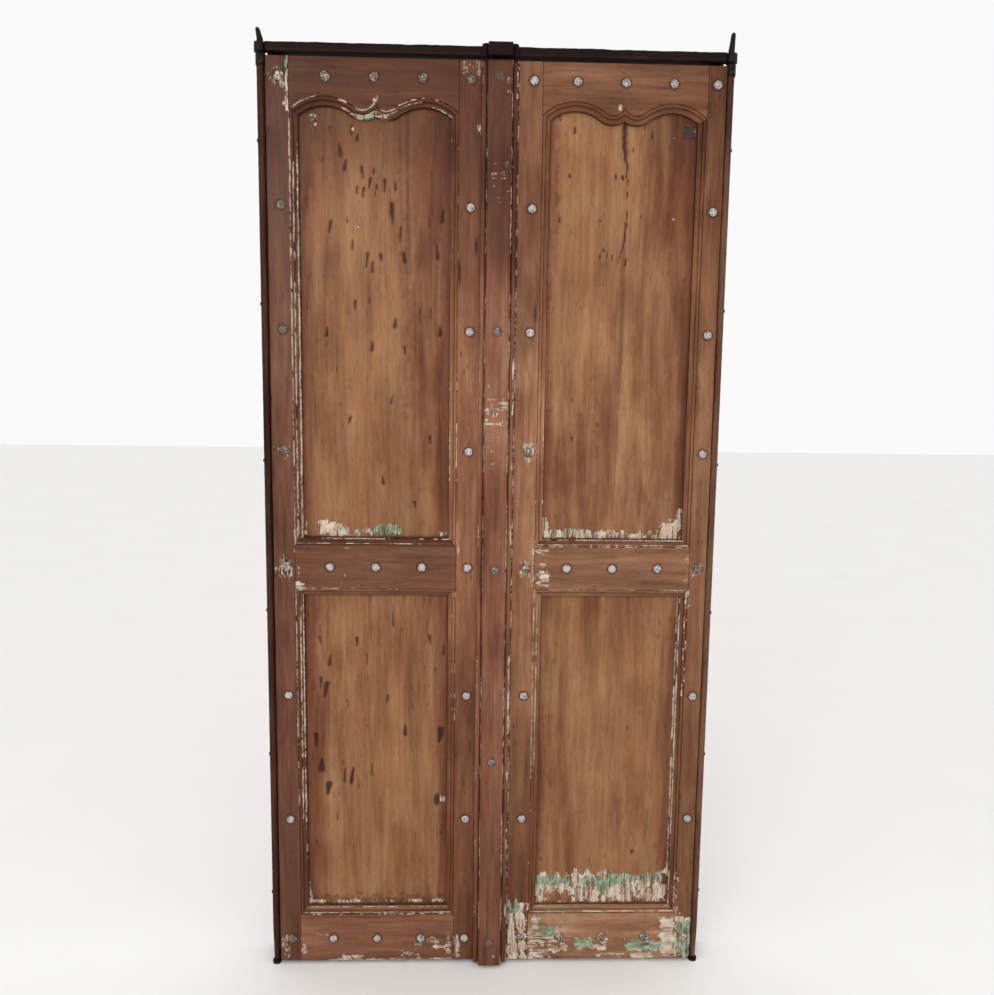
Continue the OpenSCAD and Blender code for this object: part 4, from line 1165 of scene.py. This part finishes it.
def panel(leaf, which):
    """A flat panel with its gouges, and its edges behind the mouldings."""
    hidden = 6.0
    if which == "upper":
        low, high = MIDDLE_TOP + hidden, LEAF_H - CROWN_DROP + 4
    else:
        low, high = BOTTOM_H + hidden, MIDDLE_Z - hidden
    u = spaced(leaf.near + hidden, leaf.far - hidden, 3.0)
    z = spaced(low, high, 3.2)
    zz, uu = np.meshgrid(z, u, indexing="ij")
    x = across(leaf, uu)
    seed = 60 + (leaf is LEFT) * 2 + (which == "upper")
    key = leaf.name + "_" + which
    deep = panel_dark(leaf, which, x, zz)
    if leaf is RIGHT and which == "upper":
        deep = union(deep, panel_crack(x, zz))
    if leaf is LEFT and which == "lower":
        deep = union(
            deep, each(blot, x, zz, (-109, 355, 8, 16), (-102, 498, 9, 14, 0.8)),
            patch(x, zz, -384, -80, 118, 140, 5, 14, 137, 0.5),
        )
    edge = np.minimum(np.minimum(uu - leaf.near, leaf.far - uu) - STICK_W, 60)
    foot = zz - (low - hidden + STICK_W)
    gold = 0.5 + 0.55 * (rough_noise(x / 60, zz / 210, seed) - 0.5)
    gold = gold + 0.35 * step(edge, 5, 60) - 0.25 * (1 - step(edge, 0, 26))
    # Gouges and stains, with painted shade along the panel's edges and foot where it meets the mouldings.
    stain_and_shade = union(
        deep,
        step(noise(x / 9, zz / 150, seed + 6), 0.7, 0.95) * 0.35,
        step(rough_noise(x / 26, zz / 60, seed + 8), 0.62, 0.8) * 0.3,
        (1 - step(edge, 0, 6)) * 0.35, (1 - step(foot, 0, 7)) * 0.35,
    )
    if leaf is RIGHT and which == "upper":
        bright = each(
            patch, x, zz, (124, 249, 1490, 1790, 7, 14, 90), (100, 205, 1190, 1520, 16, 24, 91, 0.8))
        gold = gold * 0.7 + bright * (0.75 + 0.4 * step(noise(x / 5, zz / 60, 92), 0.4, 0.7))
        stain_and_shade = stain_and_shade * (1 - bright * 0.6) + deep * bright * 0.6
        stain_and_shade = union(stain_and_shade, deep, patch(x, zz, 255, 385, 1660, 1770, 10, 20, 93, 0.12))
    for row in PANEL_GOLD.get(key, []):
        gold = gold + patch(x, zz, *row)
    paint = panel_paint(leaf, which, x, zz)
    ridges = (noise(x / 3.2, zz / 130, seed + 12) - 0.5) * 0.35
    depth = PANEL_RECESS + worn(x, zz, seed) * 0.8 + ridges + deep * 2.6 - step(paint, 0.5, 0.8) * 0.35
    mint = each(patch, x, zz, *PANEL_MINT[key]) if key in PANEL_MINT else 0.0
    grime_and_shade = panel_grime_and_shade(leaf, which, x, zz, edge)
    piece = front_solid(
        key + "_panel_old", world(x, depth, zz), PANEL_RECESS + PANEL_T,
        {"paint": paint, "mint": mint, "dark": stain_and_shade, "gold": gold, "grime_and_shade": grime_and_shade})
    finish_piece(piece, "panel", leaf.body, key + "_panel")


# ---- Studs, nails and irons ----

RIM_STEPS = 26
DOME_RINGS = [1.0, 0.97, 0.88, 0.74, 0.58, 0.4, 0.2]


def stud_rings(r, x, z, depth):
    """Rings of one hammered dome, from its seat to its crown."""
    turn = np.linspace(0, 2 * math.pi, RIM_STEPS, endpoint=False)
    lobes = r.uniform(0, 2 * math.pi, 3)
    outline = 0.955 * (1 + 0.018 * np.cos(2 * turn + lobes[0]) + 0.02 * np.cos(3 * turn + lobes[1]))
    tilt = r.normal(0, 0.03, 2)
    facets = [(r.uniform(0, 2 * math.pi), r.uniform(0.2, 0.7), r.uniform(0.3, 1.0)) for _ in range(5)]
    rings = [world(x + STUD_R * outline * np.cos(turn), depth, z + STUD_R * outline * np.sin(turn))]
    for share in DOME_RINGS:
        rho = share * STUD_R * outline
        px, pz = rho * np.cos(turn), rho * np.sin(turn)
        dome = STUD_H * (1 - share**2.3) ** 0.75 * 0.86 + 0.35
        lift = dome + (tilt[0] * px + tilt[1] * pz) * (1 - share)
        for at, reach, bite in facets:
            dx = px - math.cos(at) * reach * STUD_R
            dz = pz - math.sin(at) * reach * STUD_R
            lift = lift - 0.55 * bite * np.exp(-(dx**2 + dz**2) / (0.32 * STUD_R) ** 2)
        lift = np.clip(lift, 0.1, STUD_H)
        rings.append(world(x + px, depth - lift, z + pz))
    return np.array(rings)


def crust(leaf, x, z):
    """How far a stud is still covered with old paint and rust, 0 to 1."""
    if leaf is LEFT and x < -400:
        return {FOOT_ROW: 0.75, 321: 0.3, 591: 0.15, MIDDLE_ROW: 1.0, TOP_ROW: 1.0}.get(z, 0.55)
    if leaf is LEFT:
        return 0.6 if z == TOP_ROW else 0.12
    if x > 400:
        return {FOOT_ROW: 1.0, MIDDLE_ROW: 0.75, TOP_ROW: 0.3}.get(z, 0.25)
    if z == FOOT_ROW:
        return 0.9
    return 0.8 if (x < 100 and z in (MIDDLE_ROW, CHEST_ROW)) else 0.15


def joined_studs(name, places, body, node, seed):
    """Many domed studs as one piece. A place is x, z, depth, crust and brightness."""
    r = np.random.default_rng(seed)
    points, faces, fields = [], [], {"worn": [], "paint": [], "mint": []}
    for x, z, depth, covered, bright in places:
        rings = stud_rings(r, x, z, depth)
        rows, cols = rings.shape[:2]
        start = sum(len(p) for p in points)
        index = start + np.arange(rows * cols).reshape(rows, cols)
        faces += [f[::-1] for f in grid_faces(index, closed=True)]
        faces += [index[0], index[-1][::-1]]
        flat = rings.reshape(-1, 3)
        points.append(flat)
        px, pz = flat[:, 0] / MM, (flat[:, 2] - FOOT_Z) / MM
        out = np.hypot(px - x, pz - z) / STUD_R
        shade = rough_noise(px / 3.4 + x, pz / 3.4 + z, seed)
        face = bright * (1 - step(out, 0.74, 0.98))
        fields["worn"].append(face * (0.22 + 0.8 * shade) - covered * 0.5 * step(shade, 0.4, 0.6))
        fields["paint"].append(covered * (0.25 + 0.55 * rough_noise(px / 4.5 - x, pz / 4.5, seed + 5)))
        fields["mint"].append(step(noise(px / 5, pz / 5, seed + 9), 0.6, 0.7) * 0.8 * covered)
    points = np.concatenate(points)
    smooth = [len(f) == 4 for f in faces]
    piece = make_mesh(name, points, faces, smooth, {k: np.concatenate(v) for k, v in fields.items()})
    finish_piece(piece, "stud", body, node)


def leaf_studs(leaf):
    """The studs of one leaf, brighter where less paint is left on them."""
    places = []
    for x, z in stud_places(leaf):
        covered = crust(leaf, x, z)
        on_rail = leaf.near + 20 < HALF_W - abs(x) < leaf.far - 20
        if on_rail and z == TOP_ROW:
            covered = 0.8 if leaf is LEFT else 0.5
        elif on_rail and z == MIDDLE_ROW:
            covered *= 0.8
        places.append((x, z, 0, covered, 0.62 if covered > 0.5 else 0.92))
    name = leaf.name + "_studs"
    joined_studs(name + "_forged", places, leaf.body, name, 7 + leaf.side)


def astragal_studs():
    """The five studs down the astragal."""
    low, high = box_mm("astragal_studs")
    x = (low[0] + high[0]) / 2
    face = box_mm("astragal")[0][1]
    rows = [(FOOT_ROW, 0.35), (456, 0.6), (MIDDLE_ROW, 0.6), (EYE_ROW, 0.6), (TOP_ROW, 0.35)]
    places = [(x, z, face, 0.25, bright) for z, bright in rows]
    joined_studs("astragal_studs_forged", places, "right_leaf", "astragal_studs", 30)


NAIL_SECTION = [(1, -1.2), (1, 0), (0.985, 1.1), (0.93, 1.6), (0.7, 1.75), (0.4, 1.6), (0.12, 1.3)]


def square_nail(leaf):
    """A forged square head with a chipped outline and a dished face. The left one is painted over."""
    name = leaf.name + "_square_nail"
    low, high = box_mm(name)
    x, z, half = (low[0] + high[0]) / 2, (low[2] + high[2]) / 2, (high[0] - low[0]) / 2
    seat = PANEL_RECESS + 0.4
    s = np.linspace(-1, 1, 9)
    one = np.ones(9)
    sides = [(s, -one), (one, s), (-s, one), (-one, -s)]
    edge = np.concatenate([np.stack(pair, 1)[:-1] for pair in sides])
    round_off = 1 - 0.07 * (np.abs(edge).min(axis=1) > 0.9)
    chips = 0.93 + 0.07 * noise(edge[:, 0] * 3 + 9, edge[:, 1] * 3, 5 + leaf.side)
    rings = []
    for share, lift in NAIL_SECTION:
        px, pz = (edge * (round_off * chips)[:, None] * share * half).T
        bite = 0.35 * noise(px / 3, pz / 3, 12) * (share < 1)
        rings.append(world(x + px, seat - np.minimum(lift - bite, SQUARE_T - 0.2), z + pz))
    rings = np.array(rings)
    px, pz = (rings[..., 0] / MM - x) / half, ((rings[..., 2] - FOOT_Z) / MM - z) / half
    if leaf is LEFT:
        paint = 0.5 - 0.3 * np.exp(-((px + 0.1) ** 2 + pz**2) / 0.12)
    else:
        paint = 0.85 * step(px, 0.78, 0.95) + 0.5 * step(-pz, 0.8, 1.0) * step(px, 0, 1)
    piece = ring_solid(name + "_forged", rings, {"paint": paint, "worn": 0.1, "mint": 0.0})
    finish_piece(piece, "plate", leaf.body, name)


def lathe(x, y, z, r, steps, seed, rough):
    """Rings of a round bar: x, y and z of its middle and its radius, station by station, in mm."""
    turn = np.linspace(0, 2 * math.pi, steps, endpoint=False)
    x, y, z, r = (np.asarray(v, float)[:, None] for v in np.broadcast_arrays(x, y, z, r))
    r = r * (1 - rough * noise(turn[None, :] * 1.6 + 3, z / 7, seed))
    return world(x + r * np.cos(turn), y + r * np.sin(turn), z)


def pivot_pole(leaf):
    """A whittled pole, tapered at its foot and slightly uneven along its length."""
    name = leaf.name + "_pivot_pole"
    low, high = box_mm(name)
    z = np.concatenate([[low[2], low[2] + 1], spaced(4, high[2] - 3, 4.2), [high[2] - 0.8, high[2]]])
    r = np.interp(z, [0, 69, high[2]], [5.4, POLE_D / 2, POLE_D / 2]) - 0.02
    r[[0, -1]] -= 0.8
    rings = lathe(leaf.pole_x, POLE_AXIS_DEPTH, z, r, 40, 3 + leaf.side, 0.045)
    x, zz = rings[..., 0] / MM, (rings[..., 2] - FOOT_Z) / MM
    turn = np.arange(40) / 40 * 2 * math.pi
    dark = 0.35 * step(noise(zz / 60, turn[None, :] * 1.2, 8), 0.5, 0.8) + 0.25 * step(zz, 1300, 1840)
    if leaf is RIGHT:
        dark = union(dark * 0.7, step(zz, 1560, 1760) * 0.75)
    paint = patch(x, zz, -460, -440, 1690, 1800, 3, 6, 66) * broken(zz, 67, 0.18, 9) * 0.8
    piece = ring_solid(name + "_old", rings, {"dark": dark, "paint": paint, "mint": 0.0})
    finish_piece(piece, "pole" if leaf is LEFT else "right_pole", leaf.body, name)


def ferrule(leaf):
    """A strip of iron beaten round the pole, with its lap showing."""
    name = leaf.name + "_ferrule"
    low, high = box_mm(name)
    outer = (high[0] - low[0]) / 2
    height = high[2] - low[2]
    turn = np.linspace(0, 2 * math.pi, 48, endpoint=False)
    lap = 0.9 * step(np.mod(turn - 4.9, 2 * math.pi), 0, 5.9)
    section = [
        (0.02, 2.0), (0, 0.9), (0.03, 0.35), (0.1, 0.1), (0.3, 0.05), (0.5, 0), (0.7, 0.05), (0.9, 0.1),
        (0.97, 0.35), (1, 0.9), (0.985, 2.0),
    ]
    rings = []
    for share, inset in section:
        bent = outer - inset - lap * 0.8 - 0.5 * noise(turn * 2, share * 4, 4)
        x, depth = leaf.pole_x + bent * np.cos(turn), POLE_AXIS_DEPTH + bent * np.sin(turn)
        rings.append(world(x, depth, low[2] + share * height))
    rings = np.array(rings)
    share = np.array([s for s, _ in section])[:, None]
    bow = np.abs(share - 0.25 - 0.9 * ((turn[None, :] - 4.71) / 1.1) ** 2)
    worn_line = 0.75 * (1 - step(bow, 0.08, 0.2)) + 0.55 * step(np.abs(share - 0.5), 0.44, 0.5)
    piece = ring_solid(name + "_forged", rings, {"worn": worn_line, "paint": 0.0, "mint": 0.0})
    finish_piece(piece, "iron", leaf.body, name)


def top_pin(leaf, tip, lean):
    """A forged pin with its tip bent outwards and drawn to a blunt end."""
    name = leaf.name + "_top_pin"
    top = box_mm(name)[1][2]
    base = box_mm(leaf.name + "_pivot_pole")[1][2]
    knee = top - tip * math.cos(math.radians(lean)) - 1.0
    z_low = np.linspace(base - 2, knee, 16)
    along = np.linspace(0, 1, 15)[1:]
    swing = math.radians(lean) * leaf.side
    x = leaf.pole_x + np.concatenate([np.zeros(16), np.sin(swing) * along * tip])
    z = np.concatenate([z_low, knee + np.cos(swing) * along * tip])
    r = np.concatenate([np.full(16, 5.95), 5.9 - along * 1.6])
    r[12:19] += 0.25
    r[-1] -= 1.7
    r[-2] -= 0.5
    rings = lathe(x, POLE_AXIS_DEPTH, z, r, 24, 11 + leaf.side, 0.06)
    piece = ring_solid(name + "_forged", rings, {"worn": 0.15, "paint": 0.0, "mint": 0.0})
    finish_piece(piece, "iron", leaf.body, name)


# ---- Astragal, boss and head ----


def moulded_plan(flat_proud, side_proud, back):
    """Plan of the astragal and the boss, from back left round the front to back right, as x and depth."""
    half, side = ASTRAGAL_FLAT_W / 2, ASTRAGAL_SIDE_W
    right = [(half - 1.6, -flat_proud), (half - 0.5, -flat_proud + 0.5), (half, -flat_proud + 1.6)]
    right += [(half, -flat_proud + 4), (half, -side_proud - 2), (half + 0.2, -side_proud + 1.6)]
    mid, r = half + side / 2, side / 2
    right += [
        (mid + r * math.cos(a), -side_proud + r - r * math.sin(a))
        for a in np.linspace(math.radians(150), 0, 11)
    ]
    right += [(half + side, -side_proud + r + 2), (half + side, back)]
    flat = [(x, -flat_proud) for x in np.linspace(-half + 4, half - 4, 13)]
    left = [(-x, d) for x, d in right[::-1]]
    plan = np.array(left + flat + right)
    return plan[:, 0], plan[:, 1]


# Heights of the saw marks, which also carry the upper painted highlight, and of the lower painted highlight.
SAWN_AND_GLINT_Z = (1535, 1655, 20)
LOWER_GLINT_Z = (1148, 1204, 8)
SAW_PITCH = 6.2


def astragal_relief(x, z, depth, gap, low, high):
    """The astragal's depth with its wear, its saw marks, its rounded ends and its worn arrises."""
    saw = np.abs(np.mod(z + 3 * noise(x / 9, z / 30, 5), SAW_PITCH) - SAW_PITCH / 2) / (SAW_PITCH / 2)
    sawn = band(z, *SAWN_AND_GLINT_Z) * (gap < -0.2) * (saw - 0.5) * 0.5
    relief = np.maximum(worn(x, z, 77) * 0.6 + 0.35 + sawn, 0) * 0.7
    ends = rounded(z - low, 2.2) + rounded(high - z, 2.2)
    proud = depth < -1.5
    arris = (np.abs(gap + 1.6) < 1.7) & proud
    depth = np.where(proud, depth + relief + ends, depth)
    return depth + np.where(arris, noise(z / 22, 0, 78) ** 2 * 1.4, 0)


def astragal_paint_and_glints(x, z, x0, gap):
    """Cream in the astragal's corners, and on its flat the painted highlights of the lamps, streaked along
    its saw marks and scratches.
    """
    on_flat = gap < -0.2
    scratch_glint = step(noise(x / 26, z / 1.9, 141), 0.5, 0.8)
    return union(
        lines(gap, 0.3, 1.6) * (0.3 + 0.7 * broken(z, 79, 0.5, 60)) * np.where(x > x0, 0.9, 0.6),
        streak(gap, z, 9.5, 2.4, 80, 0.45, 60) * np.where(x > x0, 0.85, 0.5),
        lines(x + 1.1 * (z - 1217) - 4, 0, 2.2) * band(z, 1200, 1236, 4) * 0.85,
        patch(x, z, x0 + 14, x0 + 24, 1640, 1820, 3, 8, 85, 0.5) * broken(z, 86, 0.5, 10),
        # Painted highlights: reflections of the lamps on the flat, in three bands broken by scratches.
        band(z, *SAWN_AND_GLINT_Z) * on_flat * scratch_glint * 0.62 * (0.35 + 0.65 * step(z, 1560, 1625)),
        band(z, *LOWER_GLINT_Z) * on_flat * (0.3 + 0.7 * scratch_glint) * 0.95,
        band(z, 1050, 1150, 20) * on_flat * scratch_glint * 0.45,
        each(blot, x, z, (14, 22, 3, 4, 0.8), (8, 30, 2, 2, 0.7)),
    )


def astragal():
    """The moulded strip over the meeting edges."""
    low, high = box_mm("astragal")
    x0 = (low[0] + high[0]) / 2
    plan_x, plan_depth = moulded_plan(-low[1], 11.5, -0.5)
    z, x = np.meshgrid(ended(low[2], high[2], 3.0, (0, 0.7, 2), margin=5), plan_x + x0, indexing="ij")
    gap = np.abs(x - x0) - ASTRAGAL_FLAT_W / 2
    depth = astragal_relief(x, z, plan_depth[None, :] + 0 * z, gap, low[2], high[2])
    # The dark line in the quirk between the flat and the bead is painted shade.
    dark = union(
        lines(gap, -0.6, 1.5) * 0.5, lines(gap, 1.2, 1.3) * 0.75 * (depth > -13),
        step(noise(x / 6, z / 140, 88), 0.62, 0.9) * 0.5, step(z, 1765, 1850) * 0.3,
        (1 - step(z, 0, 60)) * 0.25, blot(x, z, 31, 1165, 5, 42, 0.8),
    )
    # Grime, with painted shade where the light falls off towards the top and the foot.
    grime_and_shade = grime_and_falloff_shade(x, z) - 0.15 + 0.4 * step(z, 1380, 1500) + 0.35 * (1 - step(z, 150, 400))
    grime_and_shade = grime_and_shade + 0.5 * band(z, 1450, 1680, 40) + 0.6 * (rough_noise(x / 20, z / 70, 134) - 0.5)
    # The paint field also holds the painted highlights on the flat.
    fields = {"paint": astragal_paint_and_glints(x, z, x0, gap), "dark": dark, "mint": 0.0, "grime_and_shade": grime_and_shade}
    piece = ring_solid("astragal_old", world(x, depth, z), fields)
    finish_piece(piece, "astragal", "right_leaf", "astragal")


def head_boss():
    """The carved block on the head plank, with the astragal's plan."""
    low, high = box_mm("head_boss")
    x0, back = (low[0] + high[0]) / 2, high[1]
    px, pd = moulded_plan(-low[1], -low[1] - 10.5, back)
    rows = [(0, 1.6), (0.4, 0.7), (1.4, 0.15), (4, 0), (12, 0), (20, 0), (22.4, 0.25), (23.4, 0.9), (24, 2.0)]
    rings = []
    for z, inset in rows:
        scale = 1 - inset / 35
        depth = back + (pd - back) * (1 - inset / 24) + 0.5 * noise(px / 5, px * 0 + z / 5, 6)
        rings.append(world(x0 + px * scale, np.minimum(depth, back), low[2] + z))
    piece = ring_solid("head_boss_old", np.array(rings), {"paint": 0.0, "dark": 0.0, "mint": 0.0})
    finish_piece(piece, "dark", "frame", "head_boss")


def head_plank():
    """The head plank: a sawn board with uneven, worn arrises."""
    low, high = box_mm("head_plank")
    x = ended(low[0], high[0], 3.4, (0, 1.2))
    d0, d1, z0, z1 = low[1], high[1], low[2], high[2]
    front = [(d0, z0 + s) for s in (1.2, 2.4, 4.5, 8, 11.5, 14, 15.4)]
    top = [(d0 + s, z1) for s in (1.2, 3, 6, 10, 16, 24, 34, 46, 58, 70)] + [(d1 - 2, z1)]
    back = [(d1, z1 - s) for s in (2, 8, 15)]
    under = [(d1 - 2, z0)] + [(d0 + s, z0) for s in (70, 58, 46, 34, 24, 16, 10, 6, 3, 1.2)]
    ring = np.array(front + top + back + under)
    d = np.repeat(ring[None, :, 0], len(x), 0)
    z = np.repeat(ring[None, :, 1], len(x), 0)
    xx = np.repeat(x[:, None], ring.shape[0], 1)
    is_top, is_front = z > z1 - 0.5, d < d0 + 0.5
    near_top = is_top | (is_front & (z > z1 - 4))
    sag = (noise(xx / 28, 0, 31) * 1.3 + noise(xx / 9, 0, 32) * 0.6) * near_top
    z = z - sag
    d = d + np.where(d < d0 + 4, worn(xx, z, 33, along_z=False) * 0.4 + 0.45, 0)
    low_arris = (np.abs(d - d0) < 2.2) & (z < z0 + 3)
    d = d + low_arris * noise(xx / 14, 0, 34) * 1.1
    for end in (low[0], high[0]):
        reach = rounded(np.abs(xx - end), 1.5)
        d = d + np.where(is_front, reach, 0)
        z = z - np.where(is_top, reach, 0)
    rings = world(xx, d, z)
    dark = 0.25 * step(noise(xx / 80, z / 5, 36), 0.5, 0.8)
    grime_and_shade = -2.2 * low_arris * (0.35 + 0.65 * broken(xx, 35, 0.6, 60))
    piece = ring_solid("head_plank_old", rings, {"paint": 0.0, "dark": dark, "mint": 0.0, "grime_and_shade": grime_and_shade})
    finish_piece(piece, "dark", "frame", "head_plank")


CAD_FINISH = {
    "left_jamb": "plain", "right_jamb": "plain", "boss_dowels": "plain",
    "left_pivot_eye": "iron", "right_pivot_eye": "iron", "eye_nails": "iron",
    "left_heel_plate": "iron", "right_heel_plate": "iron", "heel_nails": "iron",
    "left_bottom_pin": "iron", "right_bottom_pin": "iron",
    "left_pole_nails": "iron", "right_pole_nails": "iron",
}


def finish_cad_nodes():
    """The pieces whose CAD shape is right keep it, with worn edges and a full material."""
    for name, material in CAD_FINISH.items():
        node = frame["nodes"][name]
        node.data.materials.clear()
        node.data.materials.append(MATERIALS[material])
        bevel = node.modifiers.new("worn_edges", "BEVEL")
        bevel.width = 0.0012 if material == "plain" else 0.0004
        bevel.segments = 2
        bevel.limit_method = "ANGLE"
        bevel.angle_limit = math.radians(40)


# ---- Stage, light and camera ----


def plain_material(name, colour, rough):
    """A matt, pale and slightly uneven surface."""
    n = Nodes(name)
    tint = n.noise((3, 3, 3), 2)
    return n.finish(n.mix(tint, colour, srgb(244, 243, 241)), rough)


def stage():
    """A pale floor and an even white surrounding."""
    bpy.ops.mesh.primitive_plane_add(size=30, location=(0, 0, 0))
    floor = bpy.context.object
    floor.name = "floor"
    floor.data.materials.append(plain_material("pale_floor", srgb(240, 239, 237), 0.9))
    world_node = bpy.data.worlds.new("studio")
    world_node.use_nodes = True
    background = world_node.node_tree.nodes["Background"]
    background.inputs["Color"].default_value = srgb(250, 250, 250)
    background.inputs["Strength"].default_value = WORLD_STRENGTH
    bpy.context.scene.world = world_node
    bpy.context.scene.view_settings.view_transform = "Standard"


def area_light(name, place, target, size, power):
    """A soft square light that looks at its target."""
    light = bpy.data.lights.new(name, "AREA")
    light.shape, light.size, light.energy = "SQUARE", size, power
    lamp = bpy.data.objects.new(name, light)
    lamp.location = place
    lamp.rotation_euler = (Vector(target) - Vector(place)).to_track_quat("-Z", "Y").to_euler()
    bpy.context.scene.collection.objects.link(lamp)


CAMERA_PLACE = Vector((-0.04736, -1.82729, 1.24370))
CAMERA_YAW = math.radians(1.8207)
CAMERA_PITCH = math.radians(7.2648)
CAMERA_ROLL = math.radians(0.7606)
FOCAL_PX = 900.0
FRAME_PX = 995.0
WORLD_STRENGTH = 1.0


def camera():
    """The camera, at the photograph's place and turn."""
    yaw, pitch, roll = CAMERA_YAW, CAMERA_PITCH, CAMERA_ROLL
    forward = Vector((math.sin(yaw) * math.cos(pitch), math.cos(yaw) * math.cos(pitch), -math.sin(pitch)))
    right = Vector((math.cos(yaw), -math.sin(yaw), 0))
    up = right.cross(forward)
    side = right * math.cos(roll) + up * math.sin(roll)
    top = up * math.cos(roll) - right * math.sin(roll)
    data = bpy.data.cameras.new("camera")
    data.sensor_width = 36.0
    data.lens = 36.0 * FOCAL_PX / FRAME_PX
    cam = bpy.data.objects.new("camera", data)
    turn = Matrix((side, top, -forward)).transposed()
    cam.matrix_world = Matrix.Translation(CAMERA_PLACE) @ turn.to_4x4()
    bpy.context.scene.collection.objects.link(cam)
    bpy.context.scene.camera = cam


camera()
stage()
area_light("key", (-0.75, -2.3, 2.1), (0.05, 0, 1.0), 0.9, 17)
area_light("fill", (0.9, -2.5, 0.9), (0.1, 0, 0.95), 1.6, 9)

for leaf in (LEFT, RIGHT):
    for which in ("hanging", "meeting"):
        stile(leaf, which)
    for which in ("top", "middle", "bottom"):
        rail(leaf, which)
    for which in ("upper", "lower"):
        panel(leaf, which)
    leaf_studs(leaf)
    pivot_pole(leaf)
    ferrule(leaf)
    square_nail(leaf)
top_pin(LEFT, 21, 13)
top_pin(RIGHT, 33, 5)
astragal()
astragal_studs()
head_boss()
head_plank()
finish_cad_nodes()
